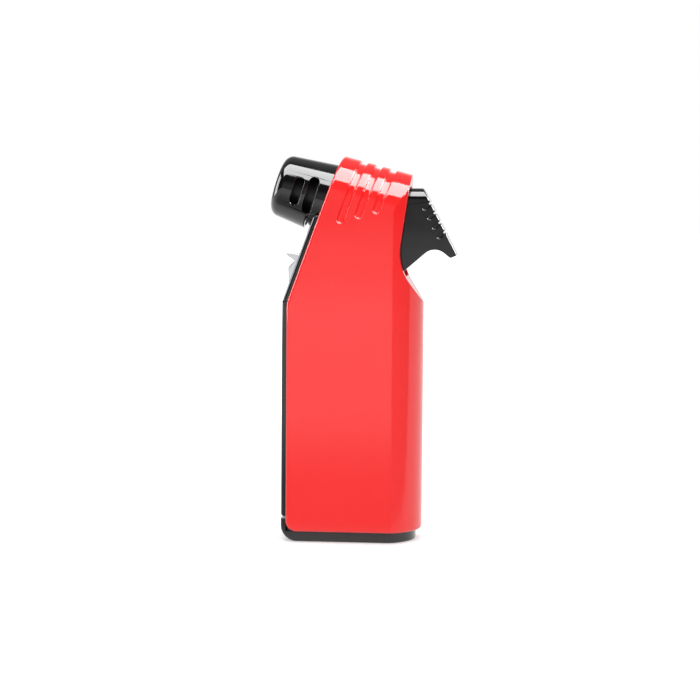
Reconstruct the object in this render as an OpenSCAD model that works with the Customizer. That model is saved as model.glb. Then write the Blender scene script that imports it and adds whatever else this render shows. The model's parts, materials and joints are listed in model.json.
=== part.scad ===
// Pocket butane torch: a one-piece cover over a black frame, a fuel tank with its two valves,
// a piezo igniter and a tilted burner head, fired by a thumb trigger.
// The origin is the middle of the flat underside. -X is the flame side, +X the thumb side, +Z is up.

/* [Body] */
// Front-to-back size, from the face of the frame to the back of the cover
body_len = 39.5; // [37:0.5:46]
// Width across the two flat sides
body_w = 24; // [23.5:0.1:27]
// Height of the crest line above the middle of the base
crest_z = 108; // [102:0.5:122]
// Height at which the straight front turns into the slanted front
bend_z = 67.6; // [64:0.2:72]
// Height at which the back turns into the shoulder
shoulder_z = 67.8; // [64:0.2:72]
// Lean of the slanted front, from vertical
slant = 20; // [17:0.5:23]
// Fall of the crest towards the thumb side
crest_tilt = 15; // [11:0.5:18]
// Radius of the curved back, seen from above
back_r = 12.9; // [12.6:0.1:16]

/* [Cover] */
// Thickness of the cover
wall = 1.6; // [1.2:0.1:1.7]
// Height of the cover's lower edge
cover_z = 3; // [2:0.1:3.5]
// How far the frame stands out in front of the cover
proud = 1.5; // [1:0.1:2]
// Number of grooves over the hood
groove_n = 3; // [1:1:3]
// Width of a groove
groove_w = 1.85; // [1.2:0.05:2.4]
// Depth of a groove
groove_d = 0.8; // [0.4:0.1:0.9]
// Distance between grooves
groove_pitch = 4.25; // [3.6:0.05:4.6]
// Lean of the edge above the trigger, from vertical
waist_lean = 8; // [5:0.5:10]
// Lean of the shoulder below the trigger, from vertical
shoulder_lean = 34; // [30:0.5:38]

/* [Nozzle] */
// Upward tilt of the flame
nozzle_tilt = 17; // [14:0.5:20]
// Outer radius of the shroud at its middle ring
shroud_r = 9.35; // [8.9:0.05:9.5]
// Taper of the shroud, half angle
shroud_taper = 6; // [3:0.5:6]
// Thickness of the shroud
shroud_wall = 1.1; // [0.8:0.1:1.2]
// Length of the shroud in front of its middle ring
shroud_front = 7.1; // [6.8:0.1:10]
// Radius of the flame opening
mouth_r = 6.2; // [5.8:0.1:6.4]
// Width of an air slot
slot_w = 2.6; // [1.6:0.1:2.8]
// Radius of the flame tube
flame_tube_r = 5.2; // [4.9:0.05:5.3]

/* [Trigger] */
// Width of the trigger
trigger_w = 13.6; // [12:0.1:13.8]
// Lean of the thumb pad, from vertical
pad_lean = 27.5; // [24:0.1:30]
// Length of the thumb pad
pad_len = 21; // [19:0.1:23]
// Number of grip cuts in the thumb pad
grip_n = 4; // [2:1:5]
// Distance between grip cuts
grip_pitch = 3; // [2.4:0.1:3.2]
// Full travel of the trigger, in degrees
travel = 13; // [9:0.5:13]

/* [Fuel system] */
// Height of the fuel tank's floor
tank_z = 6.2; // [6:0.1:8]
// Height of the fuel tank's open top
tank_top = 60; // [52:0.5:60.5]
// Thickness of the fuel tank
tank_wall = 1.2; // [0.9:0.1:1.6]
// Radius of the refill port
port_r = 2; // [1.6:0.05:2.1]
// Radius of the flame dial
dial_r = 5.2; // [4.4:0.1:6]

/* [Flame lock] */
// Travel of the lock slider up the slope
lock_travel = 3; // [2:0.1:3.4]
// Width of the lock slider
lock_w = 8; // [6:0.1:9]

/* [Clearances] */
// Gap between moving pieces
play = 0.3; // [0.2:0.05:0.4]
// Gap between fitted pieces that don't move
fit = 0.1; // [0.05:0.01:0.15]
// Radial clearance of a pin in its hole
pin_fit = 0.05; // [0.02:0.01:0.08]

/* [Hidden] */
$fn = 48;

half_w = body_w / 2;
back_x = body_len / 2;
frame_x = -body_len / 2;
cover_x = frame_x + proud;
back_cx = back_x - back_r;
through = body_w + 20;
tall = crest_z + 40;
bend_r = 8;
waist_r = 15;
waist_x = back_x - 7.1;
waist_z = shoulder_z + 10.4;

// The nozzle's axis: local +Z runs out through the flame opening, local +X is up.
nozzle_x = frame_x + 4.4;
nozzle_z = crest_z - 9.15;

// ---------- plane geometry ----------

function turn(a) = [sin(a), cos(a)];
function out(a) = [cos(a), -sin(a)];
function cross2(a, b) = a.x * b.y - a.y * b.x;
function meet(p, u, q, v) = p + u * cross2(q - p, v) / cross2(u, v);
function unit(v) = v / norm(v);

// The points of one corner rounded to radius r, or the corner itself.
function corner(a, p, b, r, n = 6) =
    r <= 0 ? [p] :
    let (
        u = unit(a - p),
        v = unit(b - p),
        half = acos(u * v) / 2,
        c = p + unit(u + v) * r / sin(half),
        s = p + u * r / tan(half),
        e = p + v * r / tan(half),
        a0 = atan2(s.y - c.y, s.x - c.x),
        a1 = atan2(e.y - c.y, e.x - c.x),
        sweep = (a1 - a0 + 540) % 360 - 180
    )
    [for (i = [0:n]) c + r * [cos(a0 + sweep * i / n), sin(a0 + sweep * i / n)]];

// A polygon from corners given as [x, y, radius].
function rounded(c, m = 6) =
    let (n = len(c), p = [for (q = c) [q.x, q.y]])
    [for (i = [0:n - 1]) each corner(p[(i + n - 1) % n], p[i], p[(i + 1) % n], c[i].z, m)];

function at_radius(p, r) = [p.x, p.y, r];

// The front line of the body, moved in from the cover's front edge.
function front_foot(inset) = [cover_x, bend_z] + inset * out(slant);
function front_bend(inset) = meet([cover_x + inset, 0], [0, 1], front_foot(inset), turn(slant));

// The side view of the body. Each value is how far in from the cover's own outline that edge lies.
function outline(front, rest, floor_in) =
    let (
        crest_p = [0, crest_z] - rest * turn(crest_tilt),
        rear_p = [waist_x, waist_z] - rest * out(waist_lean),
        shoulder_p = [back_x, shoulder_z] - rest * out(-shoulder_lean)
    )
    rounded([
        [cover_x + front, cover_z + floor_in, 3],
        at_radius(front_bend(front), bend_r - front),
        at_radius(meet(front_foot(front), turn(slant), crest_p, out(crest_tilt)), max(0.8 - rest, 0)),
        at_radius(meet(crest_p, out(crest_tilt), rear_p, turn(waist_lean)), max(0.8 - rest, 0)),
        at_radius(meet(rear_p, turn(waist_lean), shoulder_p, turn(-shoulder_lean)), waist_r + rest),
        at_radius(meet(shoulder_p, turn(-shoulder_lean), [back_x - rest, 0], [0, 1]), max(2 - rest, 0)),
        [back_x - rest, cover_z + floor_in, 0]
    ]);

// ---------- solids that the body is cut from ----------

module side_prism(points, w = through) {
    rotate([90, 0, 0]) linear_extrude(w, center = true) polygon(points);
}

module plan(inset) {
    h = half_w - inset;
    intersection() {
        translate([cover_x - 10, -h]) square([2 * body_len, 2 * h]);
        union() {
            translate([back_cx, 0]) circle(back_r - inset);
            translate([cover_x - 20, -back_r]) square([back_cx - cover_x + 20, 2 * back_r]);
        }
    }
}

// The arched cross section of the hood, run along the crest. Its straight sides reach below the base.
module arch(inset) {
    translate([0, 0, crest_z]) rotate([0, crest_tilt, 0]) rotate([0, 90, 0])
        linear_extrude(4 * body_len, center = true) {
            translate([half_w, 0]) circle(half_w - inset);
            translate([half_w, inset - half_w]) square([tall, 2 * (half_w - inset)]);
        }
}

module body_block(front, rest, floor_in) {
    intersection() {
        side_prism(outline(front, rest, floor_in));
        linear_extrude(tall) plan(rest);
        arch(rest);
    }
}

// Everything in front of the line that lies a given distance in from the cover's front edge.
module front_zone(inset) {
    far = front_foot(inset) + 70 * turn(slant);
    side_prism(concat(
        [[frame_x - 30, -1], [cover_x + inset, -1]],
        corner([cover_x + inset, 0], front_bend(inset), far, bend_r - inset),
        [far, [frame_x - 30, tall]]
    ));
}

module at_nozzle(along = 0) {
    translate([nozzle_x, 0, nozzle_z]) rotate([0, nozzle_tilt - 90, 0]) translate([0, 0, along]) children();
}

function nozzle_point(along, up = 0, y = 0) = [
    nozzle_x - along * cos(nozzle_tilt) + up * sin(nozzle_tilt),
    y,
    nozzle_z + along * sin(nozzle_tilt) + up * cos(nozzle_tilt)
];

// The frame's slanted face: local +Z runs up the slope and local -X points out of it.
module on_slant(z) {
    foot = front_foot(-proud);
    p = foot + turn(slant) * (z - foot.y) / cos(slant);
    translate([p.x, 0, p.y]) rotate([0, slant, 0]) children();
}

// A solid swept along points, as one closed surface.
function side_of(d) = unit(cross(d, abs(d.y) < 0.9 ? [0, 1, 0] : [1, 0, 0]));
function heading(p, i) = unit(p[min(i + 1, len(p) - 1)] - p[max(i - 1, 0)]);
function ring(p, i, r, sides) =
    let (d = heading(p, i), x = side_of(d), y = cross(d, x))
    [for (k = [0:sides - 1]) p[i] + r * (x * cos(360 * k / sides) + y * sin(360 * k / sides))];

module swept(p, r, sides = 8) {
    n = len(p);
    polyhedron(
        points = [for (i = [0:n - 1]) each ring(p, i, r, sides)],
        faces = concat(
            [[for (k = [0:sides - 1]) k]],
            [for (i = [0:n - 2], k = [0:sides - 1])
                [i * sides + k, (i + 1) * sides + k, (i + 1) * sides + (k + 1) % sides,
                 i * sides + (k + 1) % sides]],
            [[for (k = [sides - 1:-1:0]) (n - 1) * sides + k]]
        ),
        convexity = 4
    );
}

// A smooth curve through control points, with the same number of steps between each pair.
function bend_at(c, i) =
    i == 0 ? unit(c[1] - c[0]) :
    i == len(c) - 1 ? unit(c[i] - c[i - 1]) :
    unit(unit(c[i] - c[i - 1]) + unit(c[i + 1] - c[i]));
function along_bend(p, u, q, v, t) =
    (2 * t * t * t - 3 * t * t + 1) * p + (t * t * t - 2 * t * t + t) * u
    + (3 * t * t - 2 * t * t * t) * q + (t * t * t - t * t) * v;
function spline(c, steps = 4) = [
    for (i = [0:len(c) - 2], s = [0:steps - (i == len(c) - 2 ? 0 : 1)])
        let (gap = norm(c[i + 1] - c[i]))
        along_bend(c[i], gap * bend_at(c, i), c[i + 1], gap * bend_at(c, i + 1), s / steps)
];

// A coil spring standing on z = 0, of mean radius r.
module coil(r, wire, height, turns, per_turn = 12) {
    steps = turns * per_turn;
    swept([
        for (i = [0:steps])
            [r * cos(360 * i / per_turn), r * sin(360 * i / per_turn),
             wire + (height - 2 * wire) * i / steps]
    ], wire, 6);
}

module tube(outer, inner, h) {
    difference() {
        cylinder(r = outer, h = h);
        translate([0, 0, -1]) cylinder(r = inner, h = h + 2);
    }
}

// A small cross-headed screw standing on the end of its thread.
module screw(r, head_r, length, head_t) {
    difference() {
        union() {
            cylinder(r = r, h = length + head_t);
            translate([0, 0, length]) cylinder(r = head_r, h = head_t);
        }
        for (a = [0, 90]) rotate(a)
            translate([-head_r * 0.6, -0.22, length + head_t - 0.45]) cube([head_r * 1.2, 0.44, 2]);
    }
}

// ---------- cover ----------

groove_first = 6.1;
groove_end_z = crest_z - 17.1;
groove_rise = 1.4;
opening_z = shoulder_z + 7.4;
trigger_half = trigger_w / 2;
trigger_top = crest_z - 8.1;
trigger_round = 3.8;

// Grooves run parallel to the slanted front edge.
module groove_shape(i) {
    foot = front_foot(groove_first + i * groove_pitch);
    low = foot + turn(slant) * (groove_end_z + i * groove_rise - foot.y) / cos(slant);
    rotate([90, 0, 0]) linear_extrude(through, center = true) translate(low) {
        circle(groove_w / 2);
        rotate(-slant) translate([-groove_w / 2, 0]) square([groove_w, 40]);
    }
}

module grooves() {
    difference() {
        for (i = [0:groove_n - 1]) groove_shape(i);
        arch(groove_d);
    }
}

// The trigger's outline seen from behind, grown by a gap.
module trigger_slot(gap, low) {
    h = trigger_half + gap;
    r = trigger_round + gap;
    rotate([90, 0, 90]) linear_extrude(body_len) polygon(rounded([
        [-h, low, gap], [h, low, gap], [h, trigger_top + gap, r], [-h, trigger_top + gap, r]
    ]));
}

module outer_cover() {
    color([0.9, 0.06, 0.05])
        difference() {
            body_block(0, 0, 0);
            body_block(-10, wall, -10);
            translate([back_x - 12, 0, 0]) trigger_slot(play + 0.2, opening_z);
            grooves();
        }
}

// ---------- frame and base ----------

notch_z = 6.9;
notch = 0.5;
frame_half = half_w - wall - fit;
frame_in = 1.1;
frame_top = crest_z - 16;
floor_z = 4.2;
collar_r = 8.6;
lock_z = bend_z + 9.4;
lock_neck = 2;
lock_neck_low = -2.9;
lock_neck_len = 3;
lock_foot_t = 1;
lock_foot_in = proud + frame_in + 0.15;
lock_block = 6.2;
lock_block_len = 2.2;

module front_frame() {
    color([0.05, 0.05, 0.055])
        difference() {
            union() {
                // The rail that shows in front of the cover.
                intersection() {
                    difference() {
                        front_zone(frame_in);
                        front_zone(-proud);
                    }
                    translate([-through, -frame_half, notch_z + notch / 2])
                        cube([2 * through, 2 * frame_half, frame_top - notch_z - notch / 2]);
                }
                // The foot that the tank stands on.
                translate([0, 0, floor_z]) linear_extrude(tank_z - floor_z) intersection() {
                    plan(wall + fit);
                    translate([cover_x + 0.4, -half_w]) square([body_len, body_w]);
                }
                translate([cover_x + 0.4, -frame_half, floor_z])
                    cube([frame_in - 0.4, 2 * frame_half, notch_z + 1 - floor_z]);
                // The block that the lock's spring is fixed to.
                on_slant(lock_z) translate([proud + 0.5, -2, lock_block])
                    cube([lock_foot_in + lock_foot_t + 0.1 - proud - 0.5, 4, lock_block_len]);
            }
            at_nozzle(-40) cylinder(r = collar_r + fit, h = 50);
            on_slant(lock_z) translate([-5, -lock_neck - play, lock_neck_low - play])
                cube([lock_foot_in + 4.85, 2 * (lock_neck + play), lock_neck_len + lock_travel + 2 * play]);
            translate([refill_x, 0, 0]) cylinder(r = refill_r + fit, h = 20);
            translate([dial_x, 0, 0]) cylinder(r = adjuster_r + fit, h = 20);
            for (p = base_screw_at) translate([p.x, p.y, 0]) cylinder(r = screw_r, h = 20);
        }
}

refill_x = 8;
refill_r = 2.6;
refill_flange_r = 3.6;
refill_flange_t = 1.4;
port_z = 0.8;
port_depth = 2.2;
dial_x = -7;
adjuster_r = 2.6;
dial_t = 1.8;
dial_z = 0.5;
screw_r = 0.9;
screw_head_r = 1.8;
base_screw_at = [
    for (x = [cover_x + 4.6, back_x - 6.4], s = [-1, 1]) [x, s * (half_w - (x < 0 ? 4.6 : 6))]
];

module base_cap() {
    color([0.06, 0.06, 0.065])
        difference() {
            union() {
                intersection() {
                    side_prism(rounded([
                        [frame_x, 0, 4.6], [frame_x, notch_z - notch / 2, 0.4],
                        [cover_x - fit, notch_z - notch / 2, 0], [cover_x - fit, cover_z - fit, 0],
                        [back_x, cover_z - fit, 0], [back_x, 0, 2.4]
                    ]), 2 * frame_half);
                    linear_extrude(tall) plan(wall + fit);
                }
                translate([0, 0, 1]) linear_extrude(floor_z - 1) intersection() {
                    plan(wall + fit);
                    translate([cover_x + 0.4, -half_w]) square([back_x - cover_x - 3, body_w]);
                }
            }
            translate([refill_x, 0, -1]) cylinder(r = refill_flange_r + fit, h = port_z + refill_flange_t + 1);
            translate([refill_x, 0, -1]) cylinder(r = refill_r + fit, h = 10);
            translate([dial_x, 0, -1]) cylinder(r = dial_r + play, h = dial_z + dial_t + play + 1);
            translate([dial_x, 0, -1]) cylinder(r = adjuster_r + fit, h = 10);
            for (p = base_screw_at) translate([p.x, p.y, -1]) {
                cylinder(r = screw_r + fit, h = 10);
                cylinder(r = screw_head_r + fit, h = 2);
            }
        }
}

module base_screws() {
    color([0.75, 0.75, 0.77])
        for (p = base_screw_at) translate([p.x, p.y, tank_z]) rotate([180, 0, 0])
            screw(screw_r, screw_head_r, tank_z - 1, 0.75);
}

// ---------- fuel system ----------

tank_front = cover_x + frame_in + 0.4;
tank_in = wall + 0.4;
lid_t = 2;
gasket_t = 0.6;
valve_x = -4;
valve_r = 3.2;
lid_z = tank_top + gasket_t;
chassis_z = lid_z + lid_t;
chassis_screw_at = [for (x = [tank_front + 3, back_x - 7.5], s = [-1, 1]) [x, 4 * s]];

module tank_plan(inset) {
    intersection() {
        plan(tank_in + inset);
        translate([tank_front + inset, -half_w]) square([body_len, body_w]);
    }
}

module fuel_tank() {
    color([0.72, 0.74, 0.76, 0.5])
        difference() {
            translate([0, 0, tank_z]) linear_extrude(tank_top - tank_z) tank_plan(0);
            translate([0, 0, tank_z + tank_wall]) linear_extrude(tank_top) tank_plan(tank_wall);
            translate([refill_x, 0, 0]) cylinder(r = refill_r + fit, h = 20);
            translate([dial_x, 0, 0]) cylinder(r = adjuster_r + fit, h = 20);
        }
}

module lid_gasket() {
    color([0.1, 0.1, 0.1])
        translate([0, 0, tank_top]) linear_extrude(gasket_t) difference() {
            tank_plan(0);
            tank_plan(tank_wall);
        }
}

module tank_lid() {
    color([0.78, 0.78, 0.8])
        difference() {
            union() {
                translate([0, 0, lid_z]) linear_extrude(lid_t) tank_plan(0);
                translate([0, 0, lid_z - 3]) linear_extrude(3.5) tank_plan(tank_wall + fit);
            }
            translate([0, 0, lid_z - 4]) linear_extrude(4) tank_plan(tank_wall + fit + 1);
            translate([valve_x, 0, lid_z - 5]) cylinder(r = valve_r + fit, h = 12);
            for (p = chassis_screw_at) translate([p.x, p.y, lid_z + 0.3]) cylinder(r = screw_r + pin_fit, h = 9);
        }
}

refill_top = 12;
poppet_z = port_z + port_depth + 0.1;

module refill_valve() {
    color([0.8, 0.62, 0.25])
        translate([refill_x, 0, 0])
            difference() {
                union() {
                    translate([0, 0, port_z]) cylinder(r = refill_r, h = refill_top - port_z);
                    translate([0, 0, port_z]) cylinder(r = refill_flange_r, h = refill_flange_t);
                    translate([0, 0, tank_z + tank_wall + 0.9]) cylinder(r = refill_r + 0.9, h = 1.4, $fn = 6);
                }
                cylinder(r = port_r, h = port_z + port_depth);
                cylinder(r = 1.1 + pin_fit, h = 20);
                translate([0, 0, poppet_z + 2.6]) cylinder(r = 1.9, h = 4.6);
            }
}

module refill_poppet() {
    color([0.15, 0.15, 0.16])
        translate([refill_x, 0, poppet_z]) {
            cylinder(r = 1.1, h = refill_top - poppet_z - 1.8);
            translate([0, 0, 2.75]) cylinder(r = 1.75, h = 0.7);
        }
}

module refill_spring() {
    color([0.8, 0.8, 0.82])
        translate([refill_x, 0, poppet_z + 3.5]) coil(1.5, 0.16, 3.6, 4);
}

module refill_o_ring() {
    color([0.08, 0.08, 0.08])
        translate([refill_x, 0, tank_z + tank_wall]) tube(refill_r + 0.9, refill_r, 0.9);
}

needle_r = 1;
adjuster_top = 15;

module flame_dial() {
    color([0.07, 0.07, 0.075])
        translate([dial_x, 0, dial_z])
            difference() {
                cylinder(r = dial_r, h = dial_t);
                translate([-dial_r * 0.7, -0.55, -1]) cube([dial_r * 1.4, 1.1, 1.8]);
                translate([0, 0, -1]) cylinder(r = needle_r, h = 10);
                for (a = [0:30:359])
                    rotate(a) translate([dial_r + 0.35, 0, -1]) cylinder(r = 0.7, h = 10, $fn = 24);
            }
}

module adjuster_needle() {
    color([0.8, 0.62, 0.25])
        translate([dial_x, 0, dial_z + 0.85]) {
            cylinder(r = needle_r, h = 9.5);
            translate([0, 0, 9.5]) cylinder(r1 = needle_r, r2 = 0.3, h = 1.6);
        }
}

module adjuster_body() {
    low = dial_z + dial_t + play + 0.1;
    color([0.8, 0.62, 0.25])
        translate([dial_x, 0, 0])
            difference() {
                union() {
                    translate([0, 0, low]) cylinder(r = adjuster_r, h = adjuster_top - low);
                    translate([0, 0, tank_z + tank_wall]) cylinder(r = adjuster_r + 1, h = 1.4, $fn = 6);
                }
                cylinder(r = needle_r + pin_fit, h = adjuster_top - 2);
                cylinder(r = 0.6, h = 40);
            }
}

valve_foot = tank_top - 5;
feed_at = [
    [dial_x, 0, adjuster_top + 0.05], [dial_x, 0, adjuster_top + 4], [dial_x + 0.5, 0, adjuster_top + 12],
    [valve_x - 0.5, 0, valve_foot - 15], [valve_x, 0, valve_foot - 5], [valve_x, 0, valve_foot - 0.05]
];

module feed_tube() {
    color([0.85, 0.85, 0.8])
        swept(spline(feed_at), 1.1);
}

valve_top = lid_z + lid_t + 2.6;
stem_r = 1.3;
stem_lift = 0.8;
fork_z = valve_top + 1.2;
fork_t = 1.1;
nipple_r = 0.75;
nipple_top = fork_z + 5;

module outlet_valve() {
    color([0.8, 0.62, 0.25])
        translate([valve_x, 0, 0])
            difference() {
                union() {
                    translate([0, 0, valve_foot]) cylinder(r = valve_r, h = valve_top - valve_foot);
                    translate([0, 0, lid_z + lid_t + 0.7]) cylinder(r = valve_r + 1, h = 1.2, $fn = 6);
                }
                cylinder(r = 0.6, h = 80);
                translate([0, 0, valve_foot + 1.5]) cylinder(r = 2.1, h = 6.3);
                translate([0, 0, valve_foot + 3]) cylinder(r = stem_r + pin_fit, h = 30);
            }
}

module outlet_stem() {
    collar = fork_z + fork_t + 0.15;
    color([0.85, 0.7, 0.35])
        translate([valve_x, 0, 0])
            difference() {
                union() {
                    translate([0, 0, valve_foot + 2.2]) cylinder(r = stem_r, h = collar - valve_foot - 1.8);
                    translate([0, 0, valve_foot + 1.6]) cylinder(r = 1.9, h = 0.9);
                    translate([0, 0, collar]) cylinder(r = 2.4, h = 0.8);
                    translate([0, 0, collar]) cylinder(r = nipple_r, h = nipple_top - collar);
                }
                translate([0, 0, fork_z]) cylinder(r = 0.4, h = 20, $fn = 24);
            }
}

module outlet_spring() {
    color([0.8, 0.8, 0.82])
        translate([valve_x, 0, valve_foot + 2.6]) coil(1.65, 0.16, 5, 5);
}

module outlet_o_ring() {
    color([0.08, 0.08, 0.08])
        translate([valve_x, 0, lid_z + lid_t]) tube(valve_r + 0.9, valve_r, 0.7);
}

// ---------- burner, from the jet to the flame ----------

jet_x = 4.7324;
jet_back = (jet_x - nozzle_x) / cos(nozzle_tilt);
jet_r = 2.8;
barb_len = 6.2;
shroud_back = 11;
shroud_seat = 8.6;
lip = 1.3;
lip_round = 2.7;
collar_back = 12.5;
collar_front = 4.6;
flame_tube_t = 0.5;
flame_tube_len = 15.6;
flame_tube_back = collar_back - 0.5;
mixing_len = jet_back - 3 - flame_tube_back;
electrode_up = 6.85;
sleeve_r = 1.15;
electrode_r = 0.4;

function shroud_at(z) = shroud_r - z * tan(shroud_taper);

module slot_shape(along, up, down) {
    w = slot_w / 2;
    translate([0, 0, along]) rotate([90, 0, 0]) linear_extrude(through, center = true) {
        translate([w - down, -w]) square([up + down - slot_w, slot_w]);
        translate([up - w, 0]) circle(w);
        translate([w - down, 0]) circle(w);
    }
}

module nozzle_shroud() {
    tip = [shroud_at(shroud_front), shroud_front];
    seat = [shroud_at(-shroud_seat), -shroud_seat];
    inner = collar_r + fit;
    neck = seat.x + shroud_wall - wall;
    color([0.04, 0.04, 0.045])
        difference() {
            at_nozzle()
                rotate_extrude($fn = 96) polygon(concat(
                    [[mouth_r, shroud_front - lip], [mouth_r + 0.6, shroud_front - lip],
                     [shroud_at(shroud_front - lip_round) - shroud_wall - 0.3, shroud_front - lip_round],
                     [inner, -collar_front], [inner, -shroud_back], [neck, -shroud_back],
                     [neck, -shroud_seat - 0.2], seat],
                    corner(seat, tip, [mouth_r, shroud_front], lip_round, 8),
                    [[mouth_r, shroud_front]]
                ));
            at_nozzle() slot_shape(0.4, 3.7, 4.1);
            at_nozzle() slot_shape(-3.6, 5, 5.3);
            // Relief that clears the top of the frame's rail.
            difference() {
                translate([nozzle_x - 10, -through / 2, 0]) cube([60, through, frame_top + play]);
                front_zone(-proud - 2.2);
            }
        }
}

module nozzle_collar() {
    color([0.05, 0.05, 0.055])
        at_nozzle(-collar_back)
            difference() {
                cylinder(r = collar_r, h = collar_back - collar_front);
                translate([0, 0, -1]) cylinder(r = flame_tube_r + fit, h = 12);
                translate([electrode_up, 0, -1]) cylinder(r = sleeve_r + fit, h = 12, $fn = 24);
            }
}

module flame_tube() {
    color([0.05, 0.05, 0.055])
        at_nozzle(-flame_tube_back) tube(flame_tube_r, flame_tube_r - flame_tube_t, flame_tube_len);
}

module flame_grid() {
    color([0.82, 0.78, 0.7])
        at_nozzle(-1.6)
            difference() {
                cylinder(r = flame_tube_r - flame_tube_t - pin_fit, h = 1.6);
                translate([0, 0, -1]) cylinder(r = 0.7, h = 4);
                for (n = [0:5]) rotate(60 * n) translate([1.9, 0, -1]) cylinder(r = 0.45, h = 4, $fn = 24);
                for (n = [0:11]) rotate(30 * n) translate([3.4, 0, -1]) cylinder(r = 0.4, h = 4, $fn = 24);
            }
}

module mixing_tube() {
    color([0.8, 0.62, 0.25])
        at_nozzle(3 - jet_back)
            difference() {
                union() {
                    cylinder(r = 3.4, h = mixing_len + 0.5);
                    translate([0, 0, mixing_len]) cylinder(r = flame_tube_r - flame_tube_t - pin_fit, h = 1.2);
                }
                translate([0, 0, 2]) cylinder(r = 2.2, h = jet_back);
                translate([0, 0, -1]) cylinder(r = 1, h = jet_back);
                for (a = [45:90:359]) rotate(a)
                    translate([0, 0, 3.3]) rotate([0, 90, 0]) cylinder(r = 0.7, h = 9, $fn = 24);
            }
}

// The gas enters the jet through a barb that points down and to one side.
module at_barb() {
    translate(nozzle_point(1.5 - jet_back)) rotate([-135, 0, 0]) children();
}

module burner_jet() {
    color([0.78, 0.6, 0.24])
        difference() {
            union() {
                at_nozzle(-jet_back) cylinder(r = jet_r, h = 3, $fn = 6);
                at_nozzle(3 - jet_back) cylinder(r = 1 - pin_fit, h = 1.5);
                at_barb() cylinder(r = nipple_r, h = barb_len);
                at_barb() translate([0, 0, barb_len - 2.2]) cylinder(r1 = nipple_r + 0.1, r2 = nipple_r, h = 0.5);
            }
            at_nozzle(1.5 - jet_back) cylinder(r = 0.3, h = 9, $fn = 24);
            at_barb() cylinder(r = 0.4, h = 9, $fn = 24);
        }
}

hose_r = 1.4;
hose_bore = 0.92;
hose_y = 5.4;

module gas_hose() {
    c = nozzle_point(1.5 - jet_back);
    d = [0, 0.7071, -0.7071];
    path = concat(
        [[valve_x, 0, nipple_top - 1.9], [valve_x, 0, nipple_top - 0.6]],
        spline([
            [valve_x, 0, nipple_top + 0.2], [valve_x + 0.2, 1.4, nipple_top + 2.2],
            [valve_x + 1.2, hose_y - 0.9, nipple_top + 4.6], [valve_x + 3.6, hose_y, piezo_z - 3],
            [c.x - 1.2, hose_y, piezo_z + 1], [c.x - 0.1, hose_y, c.z - 7.2], c + d * (barb_len + 0.6)
        ], 4),
        [c + d * (barb_len - 0.6), c + d * (barb_len - 1.8)]
    );
    color([0.55, 0.56, 0.58])
        difference() {
            swept(path, hose_r, 12);
            swept(concat(
                [path[0] - [0, 0, 0.5]], [for (i = [1:len(path) - 2]) path[i]], [path[len(path) - 1] - d * 0.5]
            ), hose_bore, 12);
        }
}

module electrode_sleeve() {
    color([0.93, 0.92, 0.88])
        at_nozzle(-14.5) translate([electrode_up, 0, 0]) tube(sleeve_r, electrode_r + pin_fit, 14);
}

module electrode() {
    color([0.75, 0.75, 0.78])
        at_nozzle(-16) translate([electrode_up, 0, 0]) {
            cylinder(r = electrode_r, h = 20.8);
            translate([0, 0, 20.4]) rotate([0, -90, 0]) cylinder(r = electrode_r, h = 3.4);
        }
}

module ignition_wire() {
    end = nozzle_point(-16.12, electrode_up);
    color([0.7, 0.1, 0.08])
        swept(spline([
            [piezo_front + 2, 0, piezo_z], [piezo_front + 0.2, 0, piezo_z], [piezo_front - 0.6, 0, piezo_z],
            [piezo_front - 1.2, -2.4, piezo_z + 0.8], [piezo_front + 1, -5.6, piezo_z + 3.6],
            nozzle_point(-13.3, -7, -6.1), nozzle_point(-13.9, 0, -6.3), nozzle_point(-16.6, 4.6, -5),
            nozzle_point(-18.4, electrode_up, -2), nozzle_point(-17.6, electrode_up), end
        ]), 0.45);
}

// ---------- trigger and its linkage ----------

pivot_x = back_x - 8.5;
pivot_z = crest_z - 12.4;
pin_r = 1;
chassis_half = max(trigger_half, hose_y + hose_r) + play;
chassis_t = 1.5;
pin_half = chassis_half + chassis_t;
nose_r = 1.5;
nose_drop = 13.6;
piezo_z = pivot_z - nose_drop;
pad_x = back_x - 0.3;
tip = [pad_x, trigger_top] + pad_len * turn(180 - pad_lean);
leg_half = 3;
leg_drop = 23.2;
cam_x = 7.4;
cam_start = atan2(cam_x - pivot_x, leg_drop);
cam_r = norm([cam_x - pivot_x, leg_drop]);
lever_x = 1.5;
lever_z = pivot_z - 25.4;
lever_pin_r = 0.8;
lever_angle = stem_lift / (lever_x - valve_x);
cam_fall = lever_angle * (cam_x - lever_x);

// The leg's underside: its distance from the pivot grows as the trigger turns.
function cam_point(a) = [pivot_x, pivot_z] + (cam_r + cam_fall * (a - cam_start) / travel) * [sin(a), -cos(a)];

module trigger_profile() {
    polygon(rounded([
        [pivot_x - 2.6, trigger_top - 0.2, 3], [pad_x, trigger_top, 0.5], at_radius(tip, 0.4),
        [tip.x - 1.9, tip.y - 0.9, 1], [tip.x - 6.4, tip.y + 2.7, 4.2], [pivot_x + 1.6, opening_z + 0.2, 0.4],
        [pivot_x + 0.4, opening_z + 3, 1.5], [pivot_x, piezo_z - 2, 0], [pivot_x, piezo_z + 6, 2],
        [pivot_x - 2.6, piezo_z + 9, 1]
    ]));
}

grip_start = 4.6;
grip_tilt = 14;

// One grip cut: a shallow groove across the pad, deeper where it runs down each side.
module grip_cut(i) {
    p = [pad_x, trigger_top] + (grip_start + i * grip_pitch) * turn(180 - pad_lean);
    translate([p.x, 0, p.y]) rotate([0, 270 - pad_lean - grip_tilt, 0]) {
        translate([-0.55, -trigger_w, -1]) cube([1.1, 2 * trigger_w, 1.5]);
        for (s = [-1, 1]) translate([0, s * (trigger_half + 0.55), 0]) {
            translate([-0.6, -1, -1]) cube([1.2, 2, 3.2]);
            translate([0, 0, 2.2]) rotate([90, 0, 0]) cylinder(r = 0.6, h = 2, center = true, $fn = 24);
        }
    }
}

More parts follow.
